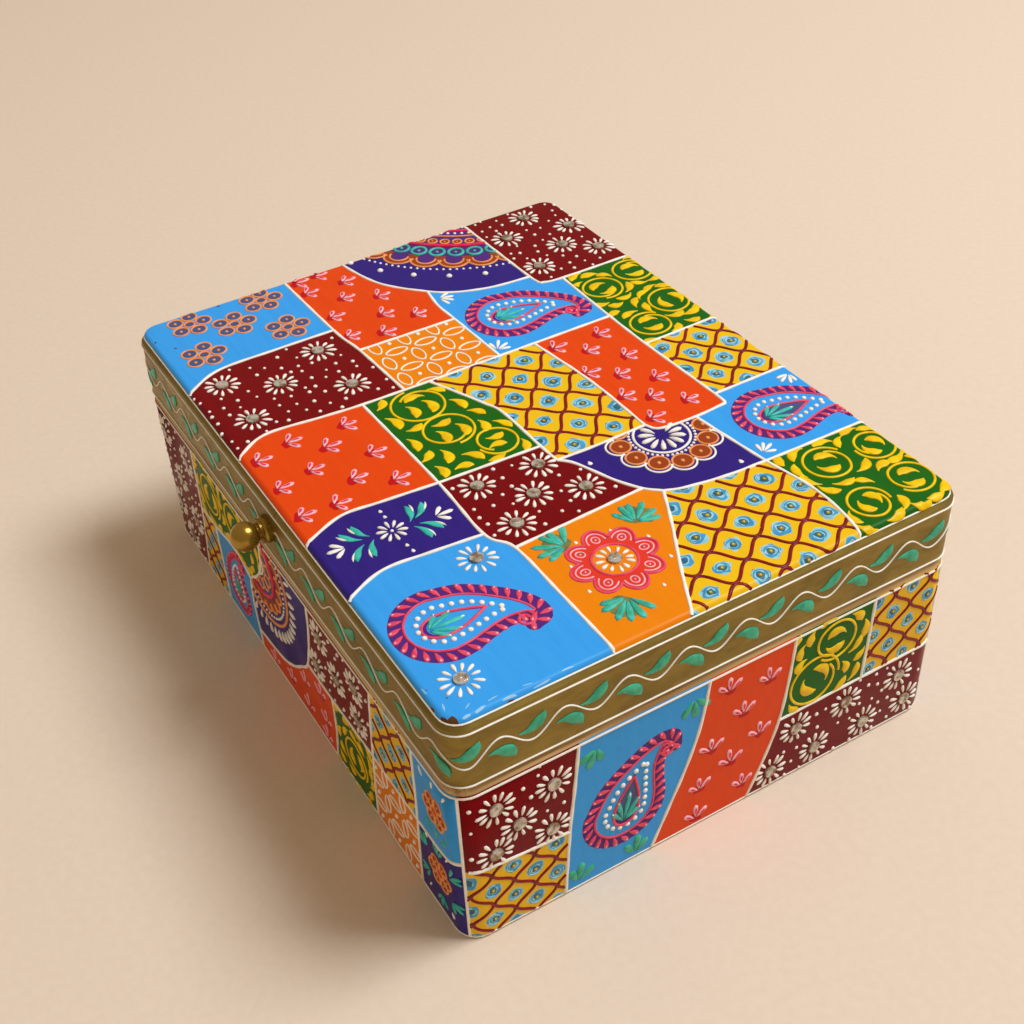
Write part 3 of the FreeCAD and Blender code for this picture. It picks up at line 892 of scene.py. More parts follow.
@dataclass
class Brush:
    """A hand that paints on a face, a little unevenly, and stays in one patch if it is given one."""

    canvas: Canvas
    chance: random.Random
    region: Region | None = None

    TOUCH_RADIUS = 0.4
    LINE_HEIGHT = 0.45
    LEAST_HALF_WIDTH = 0.02
    BLOT_POINTS = 10
    BLOT_SHARES = (0.75, 1.25)
    BLOT_STEP = 0.8
    # Distance between the two points that give a dab its direction
    NUDGE = 0.1
    DOT_HEIGHT_SHARE = 0.36
    COMMA_POINTS = 10
    COMMA_HEIGHT = 0.5
    # Width at a comma's ends as a share of its greatest, and the power that moves its belly forward
    COMMA_END_SHARE = 0.1
    COMMA_BELLY_POWER = 1.45

    def allows(self, spot: object, radius: float = TOUCH_RADIUS) -> bool:
        """Tell if a touch of paint stays in the patch."""
        return self.region is None or self.region.holds_all(spot, radius)

    def fill(self, paint: Paint, outline: np.ndarray) -> None:
        """Colour a flat shape of the film."""
        self.canvas.fills.append((paint, np.asarray(outline), self.region))

    def blot(self, paint: Paint, centre: object, size: float, stretch: float, degrees: float) -> None:
        """Colour a flat, uneven spot.

        Args:
            paint: Its colour.
            centre: Its middle.
            size: Its radius across.
            stretch: How many times longer it is than wide.
            degrees: Direction of its length.
        """
        count = self.BLOT_POINTS
        radii = size * np.array([self.chance.uniform(*self.BLOT_SHARES) for _ in range(count)])
        spots = polar(ORIGIN, radii, np.arange(count) * 360 / count) * (stretch, 1.0)
        shape = turned(np.vstack([spots, spots[:1]]), degrees)
        self.fill(paint, smooth(shape + np.asarray(centre), self.BLOT_STEP))

    def line(self, paint: Paint, points: object, half_width: object,
             thickness: float = LINE_HEIGHT) -> None:
        """Draw a raised line.

        Args:
            paint: Its colour.
            points: Its drawing points.
            half_width: Half of its width, or one for each point.
            thickness: Its height where it is widest.
        """
        points = np.asarray(points, dtype=float)
        room = np.maximum(self.canvas.surface.room(points), self.LEAST_HALF_WIDTH)
        widths = np.minimum(np.asarray(half_width, dtype=float), room)
        relief = self.canvas.shop.relief(self.canvas.body, paint)
        for run in self.region.runs(points) if self.region else [np.arange(len(points))]:
            places, lifts = self.canvas.surface.place(points[run], Canvas.FILM)
            relief.add_line(places, lifts, widths[run], thickness * np.sqrt(widths[run] / widths.max()))

    def dab(self, paint: Paint, centre: object, degrees: float, length: float, width: float, thickness: float,
            shape: DabShape = DabShape.DROP) -> None:
        """Put on one dab, if its middle is in the patch and it stays on the face.

        Args:
            paint: Its colour.
            centre: Its middle.
            degrees: Direction of its wide end.
            length: Its whole length.
            width: Its whole width.
            thickness: Its height.
            shape: Its shape.
        """
        tips = polar(centre, np.array([length, width, length, width]) / 2, degrees + 90.0 * np.arange(4))
        if self.canvas.surface.room(tips).min() > 0 and self.allows(centre):
            ends = np.array([centre, polar(centre, self.NUDGE, degrees)])
            places, lifts = self.canvas.surface.place(ends, Canvas.FILM)
            relief = self.canvas.shop.relief(self.canvas.body, paint)
            size = (length / 2, width / 2, thickness)
            relief.add_dab(places[0], lifts[0], places[1] - places[0], size, shape)

    def dot(self, paint: Paint, centre: object, diameter: float) -> None:
        """Put on one round dot, about a third as high as wide."""
        height = self.DOT_HEIGHT_SHARE * diameter
        self.dab(paint, centre, 0.0, diameter, diameter, height, DabShape.ROUND)

    def comma(self, paint: Paint, centre: object, degrees: float, length: float, bend: float,
              width: float) -> None:
        """Draw a curved stroke that swells and thins, like a brush set down and lifted.

        Args:
            paint: Its colour.
            centre: Its middle.
            degrees: Direction at its middle, towards its fat end.
            length: Its length.
            bend: How far it turns to the left from end to end, in degrees.
            width: Its greatest width.
        """
        parts = self.COMMA_POINTS - 1
        share = np.linspace(0.0, 1.0, parts + 1)
        steps = polar(ORIGIN, length / parts, degrees + bend * (share[1:] - 0.5 / parts - 0.5))
        points = np.vstack([np.zeros((1, 2)), np.cumsum(steps, axis=0)])
        belly = np.sin(math.pi * share ** self.COMMA_BELLY_POWER)
        widths = 0.5 * width * (self.COMMA_END_SHARE + (1 - self.COMMA_END_SHARE) * belly)
        self.line(paint, points - points.mean(axis=0) + np.asarray(centre), widths, self.COMMA_HEIGHT)


@dataclass(frozen=True)
class Disc:
    """Flat disc of colour round a centre."""

    colour: Paint
    radius: float

    STEP = 1.2

    def paint_round(self, brush: Brush, centre: np.ndarray) -> None:
        """Paint it round a centre."""
        brush.fill(self.colour, arc(centre, self.radius, 0, 360, self.STEP))


@dataclass(frozen=True)
class RingLine:
    """Raised ring round a centre."""

    colour: Paint
    radius: float
    half_width: float

    STEP = 0.9
    HEIGHT_SHARE = 0.8

    def paint_round(self, brush: Brush, centre: np.ndarray) -> None:
        """Paint it round a centre."""
        ring = arc(centre, self.radius, 0, 360, self.STEP)
        brush.line(self.colour, ring, self.half_width, self.HEIGHT_SHARE * self.half_width)


@dataclass(frozen=True)
class DropRow:
    """Drops or dots in a ring, their wide ends outwards."""

    colour: Paint
    radius: float
    count: int
    length: float
    width: float
    turn: float = 0.0
    shape: DabShape = DabShape.DROP

    LEAST_HEIGHT = 0.15
    HEIGHT_SHARE = 0.3

    def paint_round(self, brush: Brush, centre: np.ndarray) -> None:
        """Paint it round a centre.

        Args:
            brush: Hand that paints.
            centre: Middle of the ring.
        """
        height = self.HEIGHT_SHARE * self.width + self.LEAST_HEIGHT
        for degrees in self.turn + 360 / self.count * np.arange(self.count):
            place = polar(centre, self.radius, degrees)
            brush.dab(self.colour, place, degrees, self.length, self.width, height, self.shape)


@dataclass(frozen=True)
class LoopRow:
    """Raised loops, or outward bows, in a ring, each with a flat colour and a dot if wanted."""

    colour: Paint
    radius: float
    count: int
    loop_radius: float
    half_width: float
    sweep: float = 360.0
    turn: float = 0.0
    ground: Paint | None = None
    dot: float = 0.0
    stretch: float = 1.0

    STEP = 0.8
    HEIGHT_SHARE = 0.8

    def paint_round(self, brush: Brush, centre: np.ndarray) -> None:
        """Paint it round a centre.

        Args:
            brush: Hand that paints.
            centre: Middle of the ring.
        """
        for degrees in self.turn + 360 / self.count * np.arange(self.count):
            place = polar(centre, self.radius, degrees)
            outward = polar(ORIGIN, self.stretch - 1, degrees)
            whole = arc(ORIGIN, self.loop_radius, degrees - 180, 360, self.STEP)
            bow = arc(ORIGIN, self.loop_radius, degrees - self.sweep / 2, self.sweep, self.STEP)
            way = polar(ORIGIN, 1.0, degrees)
            if self.ground:
                brush.fill(self.ground, place + whole + np.outer(whole @ way, outward))
            bow = place + bow + np.outer(bow @ way, outward)
            brush.line(self.colour, bow, self.half_width, self.HEIGHT_SHARE * self.half_width)
            if self.dot:
                brush.dot(self.colour, place, self.dot)


@dataclass(frozen=True)
class Medallions:
    """Round figures, each built up of courses round its centre."""

    places: tuple[Spot, ...]
    courses: tuple

    def paint(self, brush: Brush) -> None:
        """Paint every figure, course by course."""
        for place in self.places:
            for course in self.courses:
                course.paint_round(brush, np.array(place))


@dataclass(frozen=True)
class Daisies:
    """White daisies round the mirror chips of a patch, and dots sprinkled between them."""

    petals: int = 12
    inner: float = 3.6
    outer: float = 8.5
    width: float = 2.2
    dots: bool = True
    spacing: float = 6.9

    START = (0, 30)
    SWAY = (-4, 4)
    PETAL_SHARES = (0.85, 1.1)
    PETAL_HEIGHT = 0.65
    DOT_GAP = 1.2
    DOT_SIZES = (1.4, 2.1)

    def paint(self, brush: Brush) -> None:
        """Paint the daisies and dots.

        Args:
            brush: Hand that paints.
        """
        chance = brush.chance
        centres = [chip for chip in brush.canvas.chips if brush.region.holds(chip)[0]]
        for centre in centres:
            start = chance.uniform(*self.START)
            for petal in range(self.petals):
                degrees = start + 360 / self.petals * petal + chance.uniform(*self.SWAY)
                length = (self.outer - self.inner) * chance.uniform(*self.PETAL_SHARES)
                width = self.width * chance.uniform(*self.PETAL_SHARES)
                place = polar(centre, self.inner + length / 2, degrees)
                brush.dab(Paint.CREAM, place, degrees, length, width, self.PETAL_HEIGHT)
        for spot in brush.region.spots(self.spacing, chance) if self.dots else []:
            if all(np.linalg.norm(spot - centre) > self.outer + self.DOT_GAP for centre in centres):
                brush.dot(Paint.CREAM, spot, chance.uniform(*self.DOT_SIZES))


@dataclass(frozen=True)
class Fans:
    """Fans of drops that spring from one point: sprigs, sprays, palmettes and leaves."""

    colour: Paint
    places: tuple[Heading, ...]
    count: int
    spread: float
    length: float
    width: float
    heart: Paint | None = None
    foot: Paint | None = None
    foot_size: float = 2.3
    foot_reach: float = 0.4

    FOOT_STRETCH = 1.3
    FOOT_TURN = 60
    SWAY = (-5, 5)
    LENGTH_SHARES = (0.9, 1.08)
    SIDE_LOSS = 0.12
    # Middle, length and width as shares of the drop's own, then height: of a drop, and of its heart
    DROP = (0.58, 1.0, 1.0, 0.5)
    HEART = (0.6, 0.76, 0.7, 0.58)

    def paint(self, brush: Brush) -> None:
        """Paint each fan at its place and heading.

        Args:
            brush: Hand that paints.
        """
        for u, v, heading in self.places:
            if self.foot:
                foot = polar((u, v), self.foot_reach, heading)
                brush.blot(self.foot, foot, self.foot_size, self.FOOT_STRETCH, heading + self.FOOT_TURN)
            for drop in range(self.count):
                aside = (2 * drop / (self.count - 1) - 1) if self.count > 1 else 0.0
                degrees = heading + self.spread / 2 * aside + brush.chance.uniform(*self.SWAY)
                length = self.length * (1 - self.SIDE_LOSS * abs(aside))
                length *= brush.chance.uniform(*self.LENGTH_SHARES)
                dabs = ((self.colour, self.DROP), (self.heart, self.HEART))
                for paint, (middle, long, wide, height) in dabs:
                    if paint:
                        place = polar((u, v), middle * length, degrees)
                        brush.dab(paint, place, degrees, long * length, wide * self.width, height)


def sprigs(places: tuple[Spot, ...]) -> Fans:
    """Lay out pink three-petalled sprigs, each on a red blot, from the points where their petals meet."""
    upright = 92.0
    return Fans(Paint.PALE_PINK, tuple((u, v, upright) for u, v in places), count=3, spread=108.0,
                length=7.6, width=3.4, heart=Paint.PINK, foot=Paint.RED)


@dataclass(frozen=True)
class OgeeLattice:
    """Net of wavy maroon lines with a blue eye in each mesh."""

    eye: Spot
    pitch: float
    row: float
    tilt: float = 0.0
    eye_size: float = 8.2
    reach: float = 110.0

    LINE_STEP = 1.3
    LINE_GAP = 0.3
    LINE_HALF_WIDTH = 0.78
    EYE_SHARES = (0.92, 1.08)
    # Colours of an eye from its rim inwards, with the radius of each as a share of its size
    EYE_RINGS = ((Paint.EYE_PALE, 0.5), (Paint.EYE_BLUE, 0.45),
                 (Paint.EYE_PALE, 0.29), (Paint.EYE_DEEP, 0.23))
    EYE_STRETCH = 0.95
    WHOLE_EYE_SHARE = 0.25
    GLINT_SHARE = 0.4
    GLINT_SWEEP = 200
    GLINT_STEP = 0.7
    GLINT_HALF_WIDTH = 0.3
    PUPIL_SHARES = (0.32, 0.28)
    PUPIL_HEIGHT = 0.3
    SPOT_SIZE = 1.3

    def paint(self, brush: Brush) -> None:
        """Paint the eyes and the net over them.

        Args:
            brush: Hand that paints.
        """
        along = np.arange(-self.reach, self.reach, self.LINE_STEP)
        columns = int(2 * self.reach / self.pitch)
        for step in range(-2 * columns, 2 * columns):
            for column in range(-columns, columns):
                across = (column + 0.5 * (step % 2)) * self.pitch
                middle = turned(np.array([across, step * self.row]), self.tilt)
                self.paint_eye(brush, np.asarray(self.eye) + middle)
        for number in range(-2 * columns, 2 * columns):
            wave = (self.pitch / 4 - self.LINE_GAP) * (-1) ** number * np.cos(math.pi * along / self.row)
            across = (number + 0.5) * self.pitch / 2 + wave
            line = turned(np.column_stack([across, along]), self.tilt)
            brush.line(Paint.LATTICE, np.asarray(self.eye) + line, self.LINE_HALF_WIDTH)

    def paint_eye(self, brush: Brush, middle: np.ndarray) -> None:
        """Paint one eye: rings of pale and deep blue, an olive pupil and a bright spot.

        Args:
            brush: Hand that paints.
            middle: Middle of the eye.
        """
        if not brush.region.holds(polar(middle, self.eye_size / 2, np.arange(0, 360, 45))).any():
            return
        size = self.eye_size * brush.chance.uniform(*self.EYE_SHARES)
        lean = brush.chance.uniform(0, 180)
        for paint, share in self.EYE_RINGS:
            brush.blot(paint, middle, share * size, self.EYE_STRETCH, lean)
        if brush.allows(middle, self.WHOLE_EYE_SHARE * self.eye_size):
            glint = arc(middle, self.GLINT_SHARE * size, lean, self.GLINT_SWEEP, self.GLINT_STEP)
            brush.line(Paint.EYE_PALE, glint, self.GLINT_HALF_WIDTH, self.GLINT_HALF_WIDTH)
            length, width = (share * size for share in self.PUPIL_SHARES)
            brush.dab(Paint.OLIVE, middle, lean, length, width, self.PUPIL_HEIGHT, DabShape.ROUND)
            brush.dot(Paint.SCROLL, middle, self.SPOT_SIZE)


@dataclass(frozen=True)
class ScrollWork:
    """Yellow spirals with plump commas curling in and round them."""

    rings: tuple[Heading, ...]
    spacing: float = 6.9
    comma_length: float = 10.5
    comma_width: float = 4.5
    scattered: bool = True

    SPIRAL_POINTS = 60
    SPIRAL_SWEEP = 400
    SPIRAL_HALF_WIDTH = 0.62
    # The last share of a spiral, in which it winds inwards by the same share of its radius
    CURL = 0.3
    # The comma inside a spiral, its place, length and width as shares of the radius and of a comma's width
    INNER_PLACE = 0.38
    INNER_START = 40
    INNER_HEADING = 130
    INNER_LENGTH = 1.15
    INNER_WIDTH = 1.05
    INNER_BEND = 120
    INNER_ROOM = 2.0
    RING_GAP = 2.4
    COMMA_ROOM = 1.8
    SWAY = (-22, 22)
    SIDES = (0, 0, 180)
    BENDS = (60, 110)
    WIDTH_SHARES = (0.85, 1.1)
    LENGTH_SHARES = (0.8, 1.1)

    def paint(self, brush: Brush) -> None:
        """Paint the spirals and the commas in them, then commas scattered round them.

        Args:
            brush: Hand that paints.
        """
        share = np.linspace(0.0, 1.0, self.SPIRAL_POINTS)
        winding = np.maximum(share - (1 - self.CURL), 0) / self.CURL
        for u, v, radius in self.rings:
            start = brush.chance.uniform(0, 360)
            radii = radius * (1 - self.CURL * winding)
            spiral = polar((u, v), radii, start + self.SPIRAL_SWEEP * share)
            brush.line(Paint.SCROLL, spiral, self.SPIRAL_HALF_WIDTH)
            for turn in (start, start + 180) if self.scattered else ():
                place = polar((u, v), self.INNER_PLACE * radius, turn + self.INNER_START)
                if brush.allows(place, self.INNER_ROOM):
                    length = self.INNER_LENGTH * radius
                    width = self.INNER_WIDTH * self.comma_width
                    heading = turn + self.INNER_HEADING
                    brush.comma(Paint.SCROLL, place, heading, length, self.INNER_BEND, width)
        if self.scattered:
            self.scatter(brush)

    def scatter(self, brush: Brush) -> None:
        """Paint commas between the spirals, each curling round the nearest one.

        Args:
            brush: Hand that paints.
        """
        chance = brush.chance
        taken: list[np.ndarray] = []
        for spot in brush.region.spots(self.spacing / 2, chance):
            gaps = [np.linalg.norm(spot - np.array((u, v))) - radius for u, v, radius in self.rings]
            near = min([np.linalg.norm(spot - other) for other in taken], default=self.spacing)
            if min(gaps) > self.RING_GAP and near >= self.spacing and brush.allows(spot, self.COMMA_ROOM):
                taken.append(spot)
                u, v, _ = self.rings[int(np.argmin(gaps))]
                heading = bearing(spot - (u, v)) + 90 + chance.uniform(*self.SWAY)
                side = chance.choice(self.SIDES)
                bend = chance.uniform(*self.BENDS) * (1 if side == 0 else -1)
                width = self.comma_width * chance.uniform(*self.WIDTH_SHARES)
                length = self.comma_length * chance.uniform(*self.LENGTH_SHARES)
                brush.comma(Paint.SCROLL, spot, heading + side, length, bend, width)


@dataclass(frozen=True)
class Paisley:
    """Paisley: a fringed purple band, a dotted blue field and a drop with a leaf in it."""

    lobe: Spot
    height: float
    lean: float = 0.0
    flip: bool = False
    heart: Paint = Paint.SKY

    # Points along the middle of the figure as shares of its height, each with the half width there.
    SPINE_SHARES = ((0.0, 0.0, 0.342), (0.018, 0.193, 0.298), (0.079, 0.386, 0.20),
                    (0.167, 0.518, 0.13), (0.263, 0.553, 0.088), (0.316, 0.482, 0.056))
    LEAST_HALF_WIDTH = 0.4
    # Sizes and places as shares of the figure's height
    BAND = 0.1
    CURL_PLACE = (0.246, 0.462)
    CURL_RADIUS = 0.068
    FRINGE_STEP = 0.078
    DOT_INSET = 0.08
    DOT_STEP = 0.066
    DOT_SIZE = 0.041
    DROP_SIZE = (0.134, 0.228)
    DROP_PLACE = (0.012, 0.085)
    LEAF_ROOT = (0.012, -0.105)
    # Dabs of the fringe: reach and length as shares of the band, width as one of the height, and thickness
    FRINGE_DABS = ((Paint.CORAL, 0.0, 1.1, 0.056, 0.5), (Paint.PALE_PINK, 0.3, 0.26, 0.022, 0.62))
    FRINGE_INSET = 0.45
    FRINGE_SLANT = 60
    FRINGE_SWAY = (-8, 8)
    # Angle and length of each blade, then its dabs: reach and length as shares of the blade, and width
    BLADES = ((0, 0.27), (-24, 0.23), (24, 0.23), (-48, 0.16), (48, 0.16))
    BLADE_DABS = ((Paint.TURQUOISE, 0.54, 1.0, 0.054), (Paint.CREAM, 0.9, 0.16, 0.02))
    BLADE_HEIGHT = 0.6
    BAND_HALF_WIDTH = 0.55
    CURL_HALF_WIDTH = 0.7
    CURL_START = 130
    CURL_SWEEP = 420
    CURL_LOSS = 0.65
    DROP_HALF_WIDTH = 0.65
    DROP_HEIGHT = 0.5
    DROP_TIP_POWER = 1.2
    DROP_FIELD = 0.84

    def outline(self, inset: float) -> np.ndarray:
        """Draw the figure's outline, or one inside it.

        Args:
            inset: Distance inside the figure's edge.

        Returns:
            The closed outline.
        """
        spine = smooth(np.array(self.SPINE_SHARES) * self.height, 1.2)
        spine = spine[spine[:, 2] > inset + self.LEAST_HALF_WIDTH]
        ahead = np.gradient(spine[:, :2], axis=0)
        ahead /= np.linalg.norm(ahead, axis=1)[:, None]
        left = np.column_stack([-ahead[:, 1], ahead[:, 0]]) * (spine[:, 2:] - inset)
        heel = arc(spine[0, :2], spine[0, 2] - inset, bearing(ahead[0]) + 90, 180, 1.2)
        toe = arc(spine[-1, :2], spine[-1, 2] - inset, bearing(ahead[-1]) - 90, 180, 0.8)
        return self.settle(np.vstack([heel, (spine[:, :2] - left)[1:], toe, (spine[:, :2] + left)[::-1]]))

    def settle(self, shape: np.ndarray) -> np.ndarray:
        """Flip, lean and place a shape that is drawn about the lobe."""
        flipped = shape * np.array([-1.0 if self.flip else 1.0, 1.0])
        return np.asarray(self.lobe) + turned(flipped, self.lean)

    def paint(self, brush: Brush) -> None:
        """Paint the figure from the band inwards.

        Args:
            brush: Hand that paints.
        """
        band = self.BAND * self.height
        brush.fill(Paint.PURPLE, self.outline(0.0))
        brush.fill(Paint.SKY, self.outline(band))
        self.paint_fringe(brush, band)
        brush.line(Paint.CORAL, resample(self.outline(band), 1.0), self.BAND_HALF_WIDTH)
        share = np.linspace(0.0, 1.0, 30)
        radii = self.CURL_RADIUS * self.height * (1 - self.CURL_LOSS * share)
        curl = polar(ORIGIN, radii, self.CURL_START - self.CURL_SWEEP * share)
        curl = self.settle(curl + np.array(self.CURL_PLACE) * self.height)
        brush.line(Paint.CORAL, curl, self.CURL_HALF_WIDTH)
        row = self.outline(band + self.DOT_INSET * self.height)
        for place in resample(row, self.DOT_STEP * self.height)[:-1]:
            brush.dot(Paint.CREAM, place, self.DOT_SIZE * self.height)
        self.paint_heart(brush)

    def paint_fringe(self, brush: Brush, band: float) -> None:
        """Paint the slanting strokes of the band, each with a pale sheen.

        Args:
            brush: Hand that paints.
            band: Width of the band.
        """
        fringe = resample(self.outline(self.FRINGE_INSET * band), self.FRINGE_STEP * self.height)
        ahead = np.roll(fringe, -1, axis=0) - np.roll(fringe, 1, axis=0)
        slant = self.FRINGE_SLANT if self.flip else -self.FRINGE_SLANT
        for place, way in zip(fringe[:-1], ahead):
            degrees = bearing(way) + slant + brush.chance.uniform(*self.FRINGE_SWAY)
            for paint, out, long, wide, height in self.FRINGE_DABS:
                middle = polar(place, out * band, degrees)
                brush.dab(paint, middle, degrees, long * band, wide * self.height, height)

    def paint_heart(self, brush: Brush) -> None:
        """Paint the drop in the middle and its leaf.

        Args:
            brush: Hand that paints.
        """
        share = np.linspace(0.0, 2 * math.pi, 40)
        width, height = (size * self.height for size in self.DROP_SIZE)
        belly = width * np.sin(share) * np.sin(share / 2) ** self.DROP_TIP_POWER
        drop = np.column_stack([belly, height * np.cos(share)])
        drop = self.settle(drop + np.array(self.DROP_PLACE) * self.height)
        middle = drop.mean(axis=0)
        brush.fill(Paint.PURPLE, drop)
        brush.fill(self.heart, middle + self.DROP_FIELD * (drop - middle))
        brush.line(Paint.CORAL, resample(drop, 0.9), self.DROP_HALF_WIDTH, self.DROP_HEIGHT)
        root = self.settle(np.array([self.LEAF_ROOT]) * self.height)[0]
        for aside, reach in self.BLADES:
            heading, length = 90 + self.lean + aside, reach * self.height
            for paint, out, long, wide in self.BLADE_DABS:
                place = polar(root, out * length, heading)
                brush.dab(paint, place, heading, long * length, wide * self.height, self.BLADE_HEIGHT)


@dataclass(frozen=True)
class PetalGrid:
    """Grid of open cream petals that meet four to a point, with dots between."""

    node: Spot
    pitch: float
    petal_length: float = 10.4
    petal_width: float = 5.2

    REACH = 6
    TIP_POWER = 0.4
    LINE_STEP = 0.9
    LINE_HALF_WIDTH = 0.42
    DOT_SIZE = 2.3

    def paint(self, brush: Brush) -> None:
        """Paint petals along both directions of the grid.

        Args:
            brush: Hand that paints.
        """
        share = np.linspace(0.0, 2 * math.pi, 22)
        belly = self.petal_width / 2 * np.sin(share) * np.abs(np.sin(share)) ** self.TIP_POWER
        lens = np.column_stack([self.petal_length / 2 * np.cos(share), belly])
        half = self.pitch / 2
        for column in range(-self.REACH, self.REACH + 1):
            for row in range(-self.REACH, self.REACH + 1):
                node = np.asarray(self.node) + self.pitch * np.array([column, row])
                for petal, middle in ((lens, node + (half, 0)), (lens[:, ::-1], node + (0, half))):
                    if brush.allows(middle):
                        petal = resample(petal + middle, self.LINE_STEP)
                        brush.line(Paint.CREAM, petal, self.LINE_HALF_WIDTH)
                brush.dot(Paint.CREAM, node + (half, half), self.DOT_SIZE)


@dataclass(frozen=True)
class Stems:
    """Curved strokes laid one by one: leaves, arms and tendrils, each with a pale edge if wanted."""

    colour: Paint
    strokes: tuple[tuple[float, float, float, float, float, float], ...]
    edge: Paint | None = None

    # Sizes of the edge as shares of the stroke's
    ASIDE_SHARE = 0.4
    AHEAD_SHARE = 0.18
    LENGTH_SHARE = 0.7
    BEND_SHARE = 0.8
    WIDTH_SHARE = 0.32

    def paint(self, brush: Brush) -> None:
        """Paint each stroke: its place, heading, length, bend and width.

        Args:
            brush: Hand that paints.
        """
        for u, v, heading, length, bend, width in self.strokes:
            brush.comma(self.colour, (u, v), heading, length, bend, width)
            if self.edge:
                aside = polar((u, v), self.ASIDE_SHARE * width, heading + (90 if bend < 0 else -90))
                place = polar(aside, self.AHEAD_SHARE * length, heading)
                brush.comma(self.edge, place, heading, self.LENGTH_SHARE * length, self.BEND_SHARE * bend,
                            self.WIDTH_SHARE * width)


@dataclass(frozen=True)
class ScuffsAndSheen:
    """Flat spots of rubbed or chipped paint, and of painted sheen on a rounded edge: place, size, stretch and
    direction of each.
    """

    colour: Paint
    spots: tuple[tuple[float, float, float, float, float], ...]

    def paint(self, brush: Brush) -> None:
        """Paint every spot."""
        for u, v, size, stretch, degrees in self.spots:
            brush.blot(self.colour, (u, v), size, stretch, degrees)


@dataclass(frozen=True)
class Patch:
    """One patch of a quilt: a point in it, its ground colour and what is painted on it."""

    seed: Spot
    ground: Paint
    motifs: tuple = ()


@dataclass
class Quilt:
    """Patchwork on one face: seams that cut the face into patches, and their painting."""

    canvas: Canvas
    # Points that each seam passes through
    knots: tuple
    patches: tuple[Patch, ...]
    # Seed of the hand's unevenness
    seed: int

    CELL = 0.5
    BEAD_HALF_WIDTH = 0.78
    BEAD_HEIGHT = 0.62
    SEAM_STEP = 2.0
    # Distance between the points of a seam that blocks cells, and how often patches grow over these cells
    BLOCK_STEP = 0.2
    GROWTHS = 2
    # Points nearer than this become one
    WELD = 1e-4
    # How much a bead's width varies, how fast, and where the variation may start
    WOBBLE = 0.12
    WOBBLE_RATE = 0.9
    WOBBLE_STARTS = (0, 6)

    def __post_init__(self) -> None:
        """Draw the seams and number the cells between them."""
        self.seams = [smooth(knots, self.SEAM_STEP) for knots in self.knots]
        self.outline = self.canvas.surface.outline()
        self.chance = random.Random(self.seed)
        self.labels, self.corner = self.map_patches()

    def triangles(self, lines: list[np.ndarray]) -> tuple[np.ndarray, np.ndarray]:
        """Cut the face into triangles whose edges follow lines.

        Args:
            lines: Lines to follow.

        Returns:
            Corner points, and three point numbers for each triangle.
        """
        points, edges = [], []
        for line in lines:
            first = len(points)
            points += [Vector(point) for point in line]
            edges += [(n, n + 1) for n in range(first, len(points) - 1)]
        result = delaunay_2d_cdt(points, edges, [], 0, self.WELD, False)
        corners = np.array([tuple(point) for point in result[0]])
        faces = np.array(result[2])
        middles = corners[faces].mean(axis=1)
        return corners, faces[inside(middles, self.outline)]

    def map_patches(self) -> tuple[np.ndarray, np.ndarray]:
        """Number the cells of the face by patch.

        Returns:
            Patch number of each cell, -1 for none, and the drawing point of the first cell.
        """
        low = self.outline.min(axis=0)
        shape = np.ceil((self.outline.max(axis=0) - low) / self.CELL).astype(int) + 1
        blocked = np.zeros(shape, dtype=bool)
        for seam in self.seams:
            cells = np.round((resample(seam, self.BLOCK_STEP) - low) / self.CELL).astype(int)
            cells = cells[np.all((cells >= 0) & (cells < shape), axis=1)]
            blocked[cells[:, 0], cells[:, 1]] = True
        labels = np.full(shape, -1)
        for number, patch in enumerate(self.patches):
            start = tuple(np.round((np.array(patch.seed) - low) / self.CELL).astype(int))
            stack = [start]
            while stack:
                a, b = stack.pop()
                if 0 <= a < shape[0] and 0 <= b < shape[1] and labels[a, b] < 0 and not blocked[a, b]:
                    labels[a, b] = number
                    stack += [(a + 1, b), (a - 1, b), (a, b + 1), (a, b - 1)]
        for _ in range(self.GROWTHS):
            for axis in (0, 1):
                for shift in (1, -1):
                    near = np.roll(labels, shift, axis=axis)
                    labels = np.where((labels < 0) & (near >= 0), near, labels)
        return labels, low

    def region(self, number: int) -> Region:
        """Give the region of one patch."""
        return Region(self.labels, self.corner, self.CELL, number)

    def paint(self) -> Object:
        """Paint every motif and seam, and lay the film.

        Returns:
            The film's object.
        """
        for number, patch in enumerate(self.patches):
            for motif in patch.motifs:
                motif.paint(Brush(self.canvas, self.chance, self.region(number)))
        brush = Brush(self.canvas, self.chance)
        for seam in self.seams:
            kept = seam[inside(seam, self.outline)]
            if len(kept) > 1:
                waves = np.arange(len(kept)) * self.WOBBLE_RATE + self.chance.uniform(*self.WOBBLE_STARTS)
                half_widths = self.BEAD_HALF_WIDTH * (1 + self.WOBBLE * np.sin(waves))
                brush.line(Paint.CREAM, kept, half_widths, self.BEAD_HEIGHT)
        return self.lay_film()

    def lay_film(self) -> Object:
        """Make the thin film of paint, one colour to a triangle.

        Returns:
            The film's object.
        """
        canvas = self.canvas
        shapes = [outline for _, outline, _ in canvas.fills]
        corners, faces = self.triangles([self.outline] + canvas.surface.folds() + self.seams + shapes)
        middles = corners[faces].mean(axis=1)
        cells = np.round((middles - self.corner) / self.CELL).astype(int)
        cells = np.clip(cells, 0, np.array(self.labels.shape) - 1)
        numbers = self.labels[cells[:, 0], cells[:, 1]]
        paints = list(Paint)
        grounds = np.array([paints.index(patch.ground) for patch in self.patches])
        colours = grounds[np.maximum(numbers, 0)]
        for paint, outline, region in canvas.fills:
            low, high = outline.min(axis=0), outline.max(axis=0)
            close = np.all((middles > low) & (middles < high), axis=1)
            near = np.flatnonzero((numbers == region.label) & close)
            colours[near[inside(middles[near], outline)]] = paints.index(paint)
        return self.film_object(corners, faces, colours)

